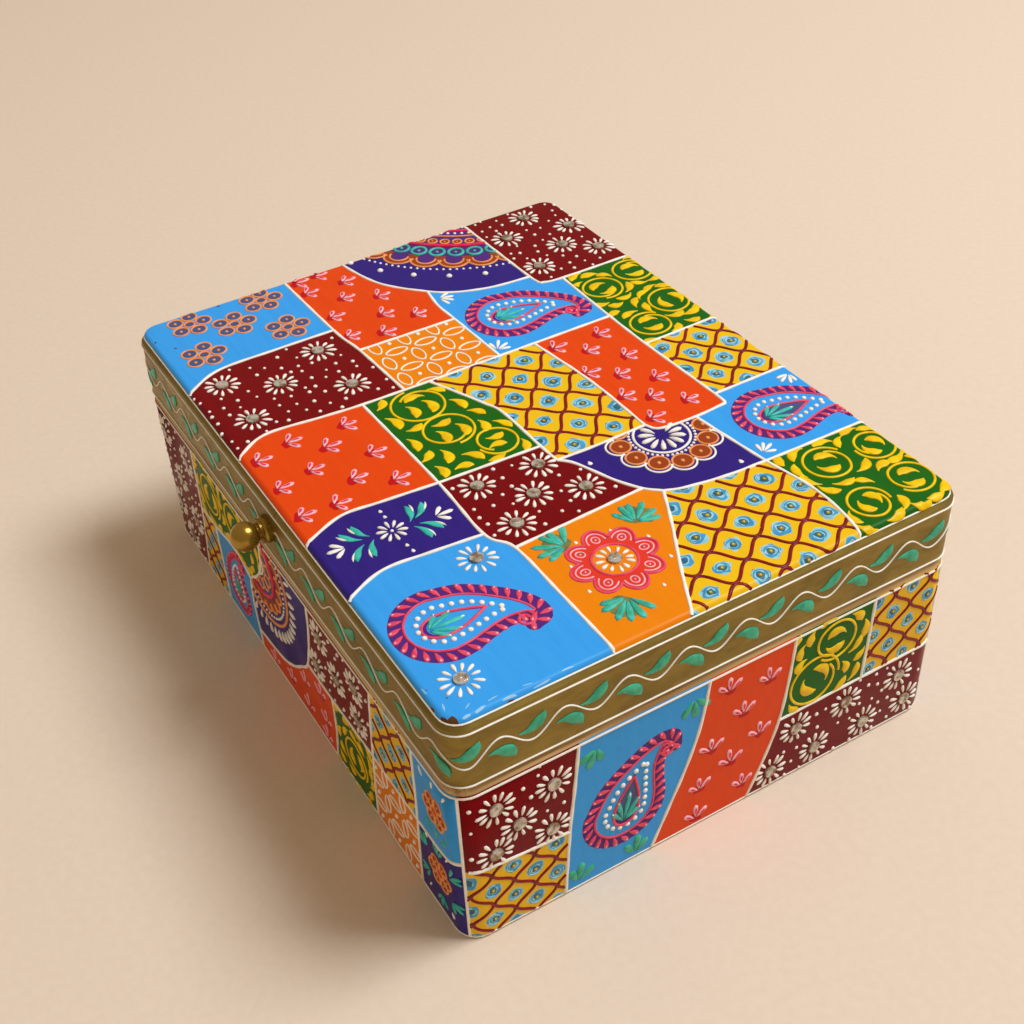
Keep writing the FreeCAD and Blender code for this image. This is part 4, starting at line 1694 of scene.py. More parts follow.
    def film_object(self, corners: np.ndarray, faces: np.ndarray, colours: np.ndarray) -> Object:
        """Close the film with an underside and edges.

        Args:
            corners: Drawing points.
            faces: Three point numbers for each triangle.
            colours: Paint number of each triangle.

        Returns:
            The film's object, riding on its body.
        """
        canvas = self.canvas
        kept, faces = np.unique(faces, return_inverse=True)
        corners, faces = corners[kept], faces.reshape(-1, 3)
        count = len(corners)
        upper, _ = canvas.surface.place(corners, canvas.FILM)
        lower, _ = canvas.surface.place(corners, -canvas.SINK)
        owners: dict[tuple[int, int], int] = {}
        for number, face in enumerate(faces):
            for a, b in zip(face, np.roll(face, -1)):
                owners[(int(a), int(b))] = number
        rims = [(pair, number) for pair, number in owners.items() if pair[::-1] not in owners]
        polygons = [tuple(map(int, face)) for face in faces]
        polygons += [tuple(int(n) + count for n in face[::-1]) for face in faces]
        polygons += [(b, a, a + count, b + count) for (a, b), _ in rims]
        tints = np.concatenate([colours, colours, [colours[number] for _, number in rims]]).astype(int)
        name = "%s_%s_enamel" % (canvas.body, canvas.name)
        mesh = bpy.data.meshes.new(name)
        mesh.from_pydata((np.vstack([upper, lower]) * MM).tolist(), [], polygons)
        used = sorted(set(tints.tolist()))
        for number in used:
            mesh.materials.append(canvas.shop.materials[list(Paint)[number]])
        mesh.polygons.foreach_set("material_index", np.searchsorted(used, tints))
        mesh.polygons.foreach_set("use_smooth", np.arange(len(polygons)) < 2 * len(faces))
        mesh.update()
        piece = add_object(name, mesh)
        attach(piece, canvas.body)
        return piece


# Courses of the round figures, in the order that they are painted
ROUND = DabShape.ROUND
ROSETTE = (
    LoopRow(Paint.PEACH, 7.0, 5, 3.6, 0.55, turn=18.0, ground=Paint.SLATE, dot=1.7),
    Disc(Paint.SLATE, 2.5),
    RingLine(Paint.PEACH, 2.5, 0.55),
)
LID_MANDALA = (
    LoopRow(Paint.PEACH, 77.0, 34, 7.9, 0.6, sweep=170.0, ground=Paint.RUST),
    LoopRow(Paint.PEACH, 77.0, 34, 4.8, 0.55, sweep=190.0, ground=Paint.PURPLE),
    Disc(Paint.PURPLE, 73.8),
    LoopRow(Paint.TURQUOISE, 69.5, 46, 3.7, 0.8, dot=1.8),
    RingLine(Paint.PINK, 63.0, 1.2),
    LoopRow(Paint.PEACH, 58.6, 58, 2.3, 0.5, ground=Paint.RUST, dot=1.1),
    RingLine(Paint.PEACH, 53.0, 0.6),
    DropRow(Paint.CREAM, 50.0, 88, 1.8, 1.8, shape=ROUND),
    RingLine(Paint.PINK, 47.3, 1.0),
    DropRow(Paint.CREAM, 43.7, 76, 1.8, 1.8, shape=ROUND),
    RingLine(Paint.PEACH, 40.0, 1.0),
    DropRow(Paint.CREAM, 86.9, 165, 1.5, 1.5, shape=ROUND),
    DropRow(Paint.CREAM, 93.4, 33, 3.2, 3.2, shape=ROUND),
)
FRONT_MANDALA = (
    Disc(Paint.SLATE, 20.0),
    RingLine(Paint.CREAM, 9.0, 0.6),
    LoopRow(Paint.PEACH, 14.0, 14, 3.0, 0.6),
    RingLine(Paint.PINK, 20.0, 1.0),
    LoopRow(Paint.PEACH, 24.4, 20, 3.6, 0.7, sweep=220.0, ground=Paint.RUST),
    DropRow(Paint.CREAM, 30.4, 60, 1.5, 1.5, shape=ROUND),
    RingLine(Paint.PEACH, 33.8, 0.8),
    DropRow(Paint.CREAM, 39.4, 44, 6.4, 2.5),
)
HALF_FLOWER = (
    LoopRow(Paint.CREAM, 19.6, 12, 5.5, 0.5, sweep=186.0, turn=-9.0),
    LoopRow(Paint.PEACH, 18.9, 12, 4.3, 0.5, turn=-9.0, ground=Paint.RUST, dot=2.0),
    DropRow(Paint.CREAM, 13.9, 42, 1.5, 1.5, shape=ROUND),
    RingLine(Paint.CREAM, 11.9, 0.6),
    DropRow(Paint.CREAM, 6.6, 12, 7.4, 3.1),
)
CORAL_FLOWER = (
    LoopRow(Paint.CORAL, 12.0, 8, 5.2, 0.6, sweep=172.0, ground=Paint.CORAL_GROUND, stretch=1.3),
    LoopRow(Paint.PALE_PINK, 12.2, 8, 3.7, 0.36, sweep=190.0, stretch=1.3),
    LoopRow(Paint.PALE_PINK, 13.2, 8, 1.6, 0.32, dot=1.0, stretch=1.2),
    Disc(Paint.SAFFRON, 8.7),
    RingLine(Paint.CORAL, 8.9, 0.6),
)
CREAM_FLOWER = (DropRow(Paint.CREAM, 4.2, 10, 4.8, 2.0), DropRow(Paint.CREAM, 0.0, 1, 1.6, 1.6, shape=ROUND))
STEM_ROSE = (
    LoopRow(Paint.PEACH, 5.4, 6, 3.1, 0.55, ground=Paint.RUST, dot=1.4),
    Disc(Paint.ORANGE, 2.6),
    RingLine(Paint.PEACH, 2.6, 0.5),
)


LID_SEAMS = (
    ((-165, -40), (-96, -38.5), (-73.5, -36), (-33, -34)),
    ((-96, -38.5), (-96, -68.5), (-95, -96.5), (-85.5, -113), (-80, -121)),
    ((-33, 74), (-33, 32.5), (-33, -22), (-33.5, -54.5), (-35, -73.5), (-37, -98.5),
     (-29, -113), (-23, -121)),
    ((-33.5, -54.5), (33.5, -53.5), (71.5, -54.5), (85, -48.5), (117, -48), (158, -48)),
    ((33.5, -53.5), (31.5, -78.5), (30.5, -95.5), (37.5, -112), (42, -121)),
    ((71.5, -54.5), (69.5, -76.5), (68.5, -96.5), (75.5, -113), (80.5, -121)),
    ((-165, 61.5), (-115, 62), (-85.5, 62.5), (-77.5, 63.5)),
    ((-85.5, 62.5), (-87.5, 42.5), (-93.5, 25.5), (-102, 14.5), (-120, 0), (-140, -6.5), (-165, -10)),
    ((-75.5, 124), (-75.5, 75), (-77.5, 63.5)),
    ((-75.5, 75), (-33, 74), (-4, 74), (45.5, 75.5), (53.5, 75)),
    ((-5, 124), (-4, 74)),
    ((45, 124), (45.5, 75.5)),
    ((53.5, 75), (54.5, 58.5), (53, 41.5), (47.5, 37.5)),
    ((-33, 32.5), (8, 37), (47.5, 37.5)),
    ((47.5, 37.5), (48, 12.5), (47.5, -6)),
    ((-102, 14.5), (-87.5, 12.5), (-72.5, 13), (-33, 14.5)),
    ((-72.5, 13), (-73.5, -36)),
    ((-33, -22), (-19, -16), (-4, -10), (6, -7), (35.5, -6.5), (47.5, -6)),
    ((35.5, -6.5), (34.5, -30), (33.5, -53.5)),
    ((54.5, 58.5), (95, 63.5), (117, 67.5), (137.5, 67), (158, 62.5)),
    ((96, 124), (95.5, 83), (95, 63.5), (94, 44.5), (91, 26.5), (88, 18)),
    ((47.5, -6), (53.5, -1), (71.5, 6), (82, 12), (88, 18)),
    ((82, 12), (83.5, -18), (85, -48.5)),
    ((88, 18), (107, 8.5), (130, -4), (158, -18)),
)

LID_PATCHES = (
    Patch((-124, -66), Paint.SKY, (
        Medallions(((-111, -55), (-128, -75), (-111, -97), (-141, -56), (-140, -93)), ROSETTE),
        ScuffsAndSheen(Paint.CHIPPED, (
            (-124, -106, 0.5, 2.0, 30), (-148, -75, 0.5, 2.5, 80), (-102, -80, 0.35, 1.5, 0),
            (-119, -86, 0.3, 1.5, 50), (-134, -112, 0.5, 2.0, 0),
        )),
    )),
    Patch((-114, -25), Paint.ORANGE, (
        sprigs((
            (-134, -16), (-112, -8), (-87, -1), (-96, -14), (-147, -25), (-120, -23), (-81, -21),
            (-146, -36), (-134, -36), (-107, -35), (-87, -36),
        )),
    )),
    Patch((-99, 52), Paint.INDIGO, (Medallions(((-187.5, 81),), LID_MANDALA),)),
    Patch((-116, 92), Paint.MAROON, (Daisies(),)),
    Patch((-55, -9), Paint.SAFFRON, (PetalGrid((-63, -15), 14.9, 11.0, 5.3),)),
    Patch((-50, 68), Paint.SKY, (
        Paisley((-62, 35.5), 58.0),
        Fans(Paint.CREAM, ((-93, 16, 60), (-38, 16, 130)), 4, 100.0, 8.0, 2.4),
    )),
    Patch((-44, 78), Paint.GREEN, (
        ScrollWork(((-62.5, 107, 9.5), (-29, 106, 10.5), (-56, 85.5, 9.5), (-17, 86, 9.5))),
    )),
    Patch((6, 56), Paint.ORANGE, (
        sprigs((
            (-23, 60), (-1, 60), (21, 61), (42, 62), (-14, 48), (10, 49), (32, 51), (25, 41), (45, 42),
            (-24, 37), (1, 38),
        )),
    )),
    Patch((16, 27), Paint.YELLOW, (OgeeLattice((-2, 23.3), 21.5, 10.3, 4.0),)),
    Patch((6, 92), Paint.YELLOW, (OgeeLattice((24.6, 96.4), 19.6, 10.0, -5.0),)),
    Patch((57, 67), Paint.SKY, (
        Paisley((71, 88), 54.5, heart=Paint.SLATE),
        Fans(Paint.CREAM, ((90, 66, 125), (51, 111, -45)), 4, 90.0, 7.0, 2.3),
    )),
    Patch((122, 73), Paint.GREEN, (
        ScrollWork(((111, 106, 8.8), (135, 104, 9.2), (109.5, 83, 9.8), (138, 80, 8.8))),
    )),
    Patch((-64, -93), Paint.MAROON, (Daisies(),)),
    Patch((-4, -64), Paint.ORANGE, (
        sprigs((
            (-24, -69), (0, -68), (22, -68), (-14, -82), (12, -82), (-26, -94), (-3, -94), (23, -95),
            (-21, -110), (1, -110), (22, -110),
        )),
    )),
    Patch((-4, -51), Paint.GREEN, (
        ScrollWork(((-19.5, -34.7, 11.8), (3.7, -32.2, 11), (22, -19.6, 9)), scattered=False),
        Stems(Paint.SCROLL, (
            (-25.5, -33.7, 270, 11, 100, 4.9), (-16.5, -30.2, 0, 12, -110, 5.4),
            (-16.5, -38.5, 0, 11, -100, 4.9), (6.5, -26.8, 0, 11, -100, 5.1), (-2, -32.5, 95, 10, 70, 4.7),
            (6.8, -36.2, 0, 11, -100, 5.1), (18.8, -18.5, 90, 9, 80, 4.4), (24.4, -20.6, 85, 9, -80, 4.4),
            (-11, -19, 15, 11, -90, 4.9), (-1.2, -15.8, 40, 9, -60, 4.4), (9.3, -18.5, 350, 10, -90, 4.9),
            (12.5, -10.8, 30, 10, -60, 4.4), (30.6, -11, 340, 9, -80, 4.4), (32, -24.5, 280, 10, -60, 4.2),
            (25.4, -32.5, 40, 11, -80, 4.9), (29.5, -39.5, 80, 9, -70, 4.7), (19.5, -42, 350, 11, -90, 5.1),
            (-5.2, -43.6, 100, 9, 80, 4.7), (-28.5, -48, 140, 9, 70, 4.7), (-13.5, -49, 10, 12, -90, 5.1),
            (5, -49.3, 0, 11, -80, 4.7), (15.5, -49, 130, 9, 70, 4.7), (27.5, -48.5, 0, 10, -90, 4.9),
            (-25.5, -22.4, 50, 9, -60, 4.4),
        )),
    )),
    Patch((57, -23), Paint.MAROON, (Daisies(),)),
    Patch((86, 50), Paint.INDIGO, (
        Medallions(((57.5, 39),), HALF_FLOWER),
        Fans(Paint.CREAM, ((88, 55, 0), (55, 4, 0)), 1, 0.0, 3.0, 2.8),
    )),
    Patch((41, -76), Paint.INDIGO, (
        Medallions(((50, -83),), CREAM_FLOWER),
        Fans(Paint.CREAM, ((51.6, -65, 90), (49, -102.3, -90)), 3, 80.0, 7.5, 2.8),
        Fans(Paint.CREAM, (
            (35.5, -81.5, 0), (39.5, -81.6, 0), (59.5, -82, 0), (63.5, -81.6, 0),
        ), 1, 0.0, 2.2, 2.2),
        Stems(Paint.TURQUOISE, (
            (44.6, -68, 140, 10.5, 60, 3.4), (44.3, -72.5, 165, 10.5, 60, 3.4),
            (55.2, -68, 40, 10.5, -60, 3.4), (57, -72.5, 15, 10.5, -60, 3.4),
            (43.6, -94.2, 200, 10.5, -60, 3.4), (44.9, -98.8, 220, 10.5, -60, 3.4),
            (55.2, -93.7, -20, 10.5, 60, 3.4), (54.7, -99.5, -40, 10.5, 60, 3.4),
        ), Paint.CREAM),
    )),
    Patch((87, -98), Paint.SKY, (
        Paisley((106.3, -92), 57.5),
        Daisies(dots=False),
        # Pale streaks along the rolled right edge: rubbed-thin paint together with painted sheen of the round
        # edge
        ScuffsAndSheen(Paint.RUBBED_AND_SHEEN, (
            (149.5, -66, 0.3, 8.0, 88), (150.5, -77, 0.4, 9.0, 92), (148.5, -82, 0.25, 7.0, 80),
            (150, -90, 0.5, 6.0, 86), (147.6, -95, 0.25, 9.0, 95), (149.4, -101, 0.5, 5.0, 100),
            (146, -104, 0.25, 6.0, 120), (149.8, -106.5, 0.6, 3.0, 95), (142, -111, 0.3, 7.0, 165),
            (132, -113, 0.3, 6.0, 5),
        )),
        ScuffsAndSheen(Paint.CHIPPED, (
            (149, -111.5, 1.7, 1.3, 40), (146.5, -113.8, 1.0, 1.6, 20), (151.4, -90, 0.5, 3.0, 95),
            (140, -114.6, 0.6, 2.5, 0), (139, -108, 0.4, 1.5, 60), (132, -112, 0.3, 1.6, 10),
        )),
    )),
    Patch((136, -25), Paint.SAFFRON, (
        Medallions(((111.5, -21),), CORAL_FLOWER),
        Fans(Paint.TURQUOISE, (
            (95, -32, 225), (98, -2, 145), (131, -29, -40),
        ), 6, 130.0, 12.5, 4.0, Paint.LEAF, Paint.OLIVE, 5.4, 4.5),
        Fans(Paint.CREAM, (
            (106, -3, 0), (120, -2.6, 0), (95.3, -13, 0), (131.8, -14, 0), (94, -28, 0), (104.6, -37, 0),
            (119.7, -38.7, 0),
        ), 1, 0.0, 2.1, 2.0),
        Daisies(petals=12, inner=3.7, outer=7.8, dots=False),
    )),
    Patch((106, 22), Paint.YELLOW, (OgeeLattice((112.2, 44), 19.4, 10.5, -7.0),)),
)

RIGHT_SEAMS = (
    ((-64, 86), (-66.5, 60), (-69, 37), (-72, -4)),
    ((-120, 41.5), (-90, 38.5), (-69, 37)),
    ((-5, 86), (-9, 60), (-15, 40), (-23, 20), (-33, -4)),
    ((36, 86), (34, 60), (31, 39), (25, 20), (15, -4)),
    ((76, 86), (75, 60), (74, 39.5)),
    ((31, 39), (74, 39.5), (120, 40)),
)

RIGHT_PATCHES = (
    Patch((-100, 79), Paint.MAROON, (Daisies(),)),
    Patch((-85, 12), Paint.YELLOW, (OgeeLattice((-94, 17), 18.6, 8.6, 0.0, 7.4),)),
    Patch((-60, 60), Paint.SKY, (
        Paisley((-44, 33), 57.0, -12.0, heart=Paint.SLATE),
        Fans(Paint.LEAF, (
            (-56.6, 76.5, 250), (-12.4, 76.5, 275), (-66, 4, 75), (-39, 3, 80),
        ), 3, 76.0, 10.0, 4.9),
    )),
    Patch((12, 50), Paint.ORANGE, (
        sprigs((
            (4, 71), (24, 66), (12, 54), (-3, 41.5), (21, 37), (7, 28.5), (-8, 21.5), (14, 10.5), (-9, 4.5),
        )),
    )),
    Patch((70, 45), Paint.GREEN, (ScrollWork(((57, 70, 10), (48, 52.7, 12.3)), 6.7, 10.0),)),
    Patch((100, 56), Paint.YELLOW, (OgeeLattice((96, 61), 18.6, 9.2, 0.0, 7.2),)),
    Patch((50, 20), Paint.MAROON, (Daisies(),)),
)

FRONT_SEAMS = (
    ((-97, 86), (-100, 46.5), (-107, 15), (-112, -4)),
    ((-100, 46.5), (-82, 47.5), (-60, 50.5), (-48, 49), (-40, 45)),
    ((-82, 47.5), (-82, -4)),
    ((-17, 86), (-22, 65), (-31, 53), (-40, 45), (-43, 30), (-42, 12), (-41, -4)),
    ((31, 86), (28, 65), (20, 41), (10, 31), (0, 23), (-12, 17), (-27, 14), (-42, 12)),
    ((20, 41), (44, 40.5), (82, 41.5), (120, 41.5), (140, 42.5), (156, 47)),
    ((44, 40.5), (43, 20), (38, -4)),
    ((88, 86), (84.5, 62), (82, 41.5), (79.5, 20), (78, -4)),
    ((121, 86), (120.5, 62), (119.5, 41.5), (118, 20), (117, -4)),
)

FRONT_PATCHES = (
    Patch((-128, 80), Paint.MAROON, (Daisies(),)),
    Patch((-60, 55), Paint.GREEN, (ScrollWork(((-80, 66, 11), (-50, 68, 11.5)), 6.7, 10.0),)),
    Patch((-90, 40), Paint.YELLOW, (OgeeLattice((-94, 30), 18.0, 8.8, 0.0, 7.4),)),
    Patch((-75, 45), Paint.SKY, (Paisley((-64, 21), 42.0),)),
    Patch((20, 60), Paint.INDIGO, (Medallions(((-28, 68),), FRONT_MANDALA),)),
    Patch((20, 12), Paint.ORANGE, (
        sprigs(((30, 30), (12, 22), (32, 15), (-6, 9), (12, 7), (-26, 3.5), (30, 3.5))),
    )),
    Patch((60, 80), Paint.MAROON, (Daisies(),)),
    Patch((60, 38), Paint.GREEN, (ScrollWork(((62, 20, 10),), 6.5, 9.0),)),
    Patch((90, 60), Paint.YELLOW, (OgeeLattice((102, 62), 18.0, 9.4, 0.0, 7.4),)),
    Patch((90, 12), Paint.SAFFRON, (PetalGrid((91, 14), 15.0, 10.4, 4.6),)),
    Patch((145, 80), Paint.SKY, (
        Medallions(((136, 63),), STEM_ROSE),
        Stems(Paint.TURQUOISE, (
            (135.5, 51, -95, 9, -50, 2.4), (130, 50, 120, 7, -95, 2.6), (141, 50, 60, 7, 95, 2.6),
        )),
        Fans(Paint.CREAM, ((129, 75, 120), (143, 75, 60), (136, 75, 90)), 1, 0.0, 4.6, 1.8),
    )),
    Patch((125, 12), Paint.INDIGO, (
        Medallions(((134.6, 25),), STEM_ROSE),
        Fans(Paint.TURQUOISE, (
            (126, 32, 145), (143, 32, 35), (126, 18, 215), (143, 18, -35), (134.6, 12, -90),
            (134.6, 35, 90),
        ), 3, 70.0, 7.2, 2.5),
        Fans(Paint.CREAM, (
            (127, 38, 110), (141, 39, 60), (126, 10, 240), (142, 10, -60),
        ), 1, 0.0, 3.4, 1.6),
    )),
)

BACK_SEAMS = (
    ((102, 86), (99, 45), (101, -4)),
    ((99, 43), (120, 44), (156, 42)),
    ((41, 86), (39, 45), (42, -4)),
    ((39, 42), (0, 44), (-31, 42)),
    ((-29, 86), (-31, 42), (-30, -4)),
    ((-31, 42), (-65, 43), (-101, 41.5)),
    ((-99, 86), (-101, 41.5), (-100, -4)),
    ((-101, 41.5), (-128, 43), (-156, 42)),
)

BACK_PATCHES = (
    Patch((125, 50), Paint.GREEN, (ScrollWork(((116, 65, 11), (139, 64, 11)), 6.7, 10.0),)),
    Patch((125, 35), Paint.MAROON, (Daisies(),)),
    Patch((50, 70), Paint.SKY, (
        Paisley((69, 30), 58.0, -4.0),
        Fans(Paint.CREAM, ((46, 10, 60), (95, 10, 120)), 4, 90.0, 7.5, 2.3),
    )),
    Patch((0, 79), Paint.ORANGE, (
        sprigs(((-20, 68), (3, 69), (26, 67), (-10, 57), (14, 57), (-21, 46), (3, 47), (28, 46))),
    )),
    Patch((0, 38), Paint.YELLOW, (OgeeLattice((5, 22), 19.0, 9.6),)),
    Patch((-65, 80), Paint.MAROON, (Daisies(),)),
    Patch((-65, 38), Paint.SAFFRON, (PetalGrid((-73, 14), 16.0),)),
    Patch((-130, 80), Paint.YELLOW, (OgeeLattice((-126, 63), 19.0, 9.6),)),
    Patch((-110, 38), Paint.SKY, (Medallions(((-116, 27), (-136, 14), (-140, 34)), ROSETTE),)),
)

LEFT_SEAMS = (
    ((61, 86), (59, 42), (62, -4)),
    ((59, 42), (90, 43), (120, 41)),
    ((1, 86), (-1, 42), (2, -4)),
    ((-1, 42), (-25, 44), (-52, 42)),
    ((-50, 86), (-52, 42), (-49, -4)),
)

LEFT_PATCHES = (
    Patch((85, 79), Paint.SKY, (Medallions(((74, 68), (98, 70), (86, 54)), ROSETTE),)),
    Patch((85, 38), Paint.GREEN, (ScrollWork(((76, 22, 11), (100, 21, 11)), 6.7, 10.0),)),
    Patch((30, 80), Paint.MAROON, (Daisies(),)),
    Patch((-25, 80), Paint.YELLOW, (OgeeLattice((-25, 63), 19.0, 9.6),)),
    Patch((-25, 38), Paint.ORANGE, (
        sprigs(((-40, 29), (-25, 30), (-10, 29), (-33, 18), (-17, 18), (-40, 6), (-25, 7), (-10, 6))),
    )),
    Patch((-60, 78), Paint.SKY, (
        Paisley((-82, 30), 56.0, 6.0, True),
        Fans(Paint.CREAM, ((-57, 10, 120), (-108, 10, 60)), 4, 90.0, 7.5, 2.3),
    )),
)


@dataclass(frozen=True)
class BoxSizes:
    """Sizes that the painting follows, read from the frame where the frame has them."""

    half_length: float
    half_width: float
    base_height: float
    lid_bottom: float
    shoulder_top: float
    lid_top: float
    corner_radius: float = 9.5
    rim_round: float = 3.5
    foot_round: float = 2.0
    panel_inset: float = 1.8
    panel_round: float = 2.2
    shoulder: float = 1.2

    @classmethod
    def from_frame(cls) -> "BoxSizes":
        """Read the sizes from the boards' and the band's boxes.

        Returns:
            The sizes in millimetres.
        """
        wall_high = np.array(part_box("base_front_board")[1]) / MM
        band_low, band_high = (np.array(corner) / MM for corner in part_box("lid_brass_band"))
        top_high = np.array(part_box("lid_top_board")[1]) / MM
        return cls(band_high[0], band_high[1], wall_high[2], band_low[2], band_high[2], top_high[2])

    def wall(self, along: Heading, outward: Heading, low: float, high: float, foot_round: float) -> Wall:
        """Give one side of the base or the lid.

        Args:
            along: Direction of the side, to the right as seen from outside.
            outward: Direction that it faces.
            low: Its lower edge.
            high: Its upper edge.
            foot_round: Rounding of its lower edge.

        Returns:
            The side.
        """
        halves = (self.half_length, self.half_width)
        reach, half = halves if abs(outward[0]) > 0.5 else halves[::-1]
        return Wall(along, outward, reach, half, low, high, self.corner_radius, foot_round)


SIDES: dict[str, tuple[Heading, Heading]] = {
    "front": ((1.0, 0.0, 0.0), (0.0, -1.0, 0.0)),
    "right": ((0.0, 1.0, 0.0), (1.0, 0.0, 0.0)),
    "back": ((-1.0, 0.0, 0.0), (0.0, 1.0, 0.0)),
    "left": ((0.0, -1.0, 0.0), (-1.0, 0.0, 0.0)),
}


def chip_centres(node: str) -> list[np.ndarray]:
    """Find the middles of the mirror chips in a node.

    Args:
        node: Name of the node.

    Returns:
        One point for each chip, in millimetres.
    """
    chip_reach = 8.0
    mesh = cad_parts[node].data
    groups: list[list[np.ndarray]] = []
    for vertex in mesh.vertices:
        point = np.array(vertex.co) / MM
        near = [group for group in groups if np.linalg.norm(group[0] - point) < chip_reach]
        if near:
            near[0].append(point)
        else:
            groups.append([point])
    return [(np.min(group, axis=0) + np.max(group, axis=0)) / 2 for group in groups]


@dataclass
class PaintedLid:
    """The patchwork on the lid's top, with a raised line along its edge."""

    sizes: BoxSizes
    shop: PaintShop

    SEED = 11
    LINE_HALF_WIDTH = 0.42
    LINE_STEP = 3.0

    def build(self) -> Object:
        """Paint the lid's top.

        Returns:
            The film's object.
        """
        sizes, inset = self.sizes, self.sizes.panel_inset
        surface = LidTop(sizes.half_length - inset, sizes.half_width - inset, sizes.lid_top,
                         sizes.lid_top - sizes.shoulder_top, sizes.corner_radius - inset, sizes.panel_round)
        canvas = Canvas("top", surface, "lid", self.shop, chip_centres("lid_mirrors"))
        film = Quilt(canvas, LID_SEAMS, LID_PATCHES, self.SEED).paint()
        line = resample(surface.loop(surface.edge() - self.LINE_HALF_WIDTH), self.LINE_STEP)
        Brush(canvas, random.Random(self.SEED)).line(Paint.CREAM, line, self.LINE_HALF_WIDTH)
        return film


@dataclass
class PaintedBase:
    """The patchwork on the base's four sides, framed by raised lines."""

    sizes: BoxSizes
    shop: PaintShop
    rim_line_drop: float = 1.2
    foot_line_rise: float = 1.1

    FIRST_SEED = 20
    RIM_HALF_WIDTH = 0.6
    FOOT_HALF_WIDTH = 0.35
    CORNER_HALF_WIDTH = 0.65
    LEVEL_STEP = 2.5
    CORNER_STEP = 3.0

    def build(self) -> list[Object]:
        """Paint the four sides.

        Returns:
            The films' objects.
        """
        designs = {"front": (FRONT_SEAMS, FRONT_PATCHES), "right": (RIGHT_SEAMS, RIGHT_PATCHES),
                   "back": (BACK_SEAMS, BACK_PATCHES), "left": (LEFT_SEAMS, LEFT_PATCHES)}
        films = []
        for seed, (side, (seams, patches)) in enumerate(designs.items(), self.FIRST_SEED):
            top = self.sizes.base_height - self.sizes.rim_round
            wall = self.sizes.wall(*SIDES[side], 0.0, top, self.sizes.foot_round)
            canvas = Canvas(side, wall, "base", self.shop, chip_centres("base_%s_mirrors" % side))
            films.append(Quilt(canvas, seams, patches, seed).paint())
            self.frame_lines(Brush(canvas, random.Random(seed)), wall)
        return films

    def frame_lines(self, brush: Brush, wall: Wall) -> None:
        """Draw the cream lines along the rim, the foot and one corner.

        Args:
            brush: Hand that paints.
            wall: Shape of the side.
        """
        u = wall.limit()
        rim, foot = wall.high - self.rim_line_drop, self.foot_line_rise
        for level, half_width in ((rim, self.RIM_HALF_WIDTH), (foot, self.FOOT_HALF_WIDTH)):
            line = resample(np.array([(-u, level), (u, level)]), self.LEVEL_STEP)
            brush.line(Paint.CREAM, line, half_width)
        corner = resample(np.array([(u, foot), (u, rim)]), self.CORNER_STEP)
        brush.line(Paint.CREAM, corner, self.CORNER_HALF_WIDTH)


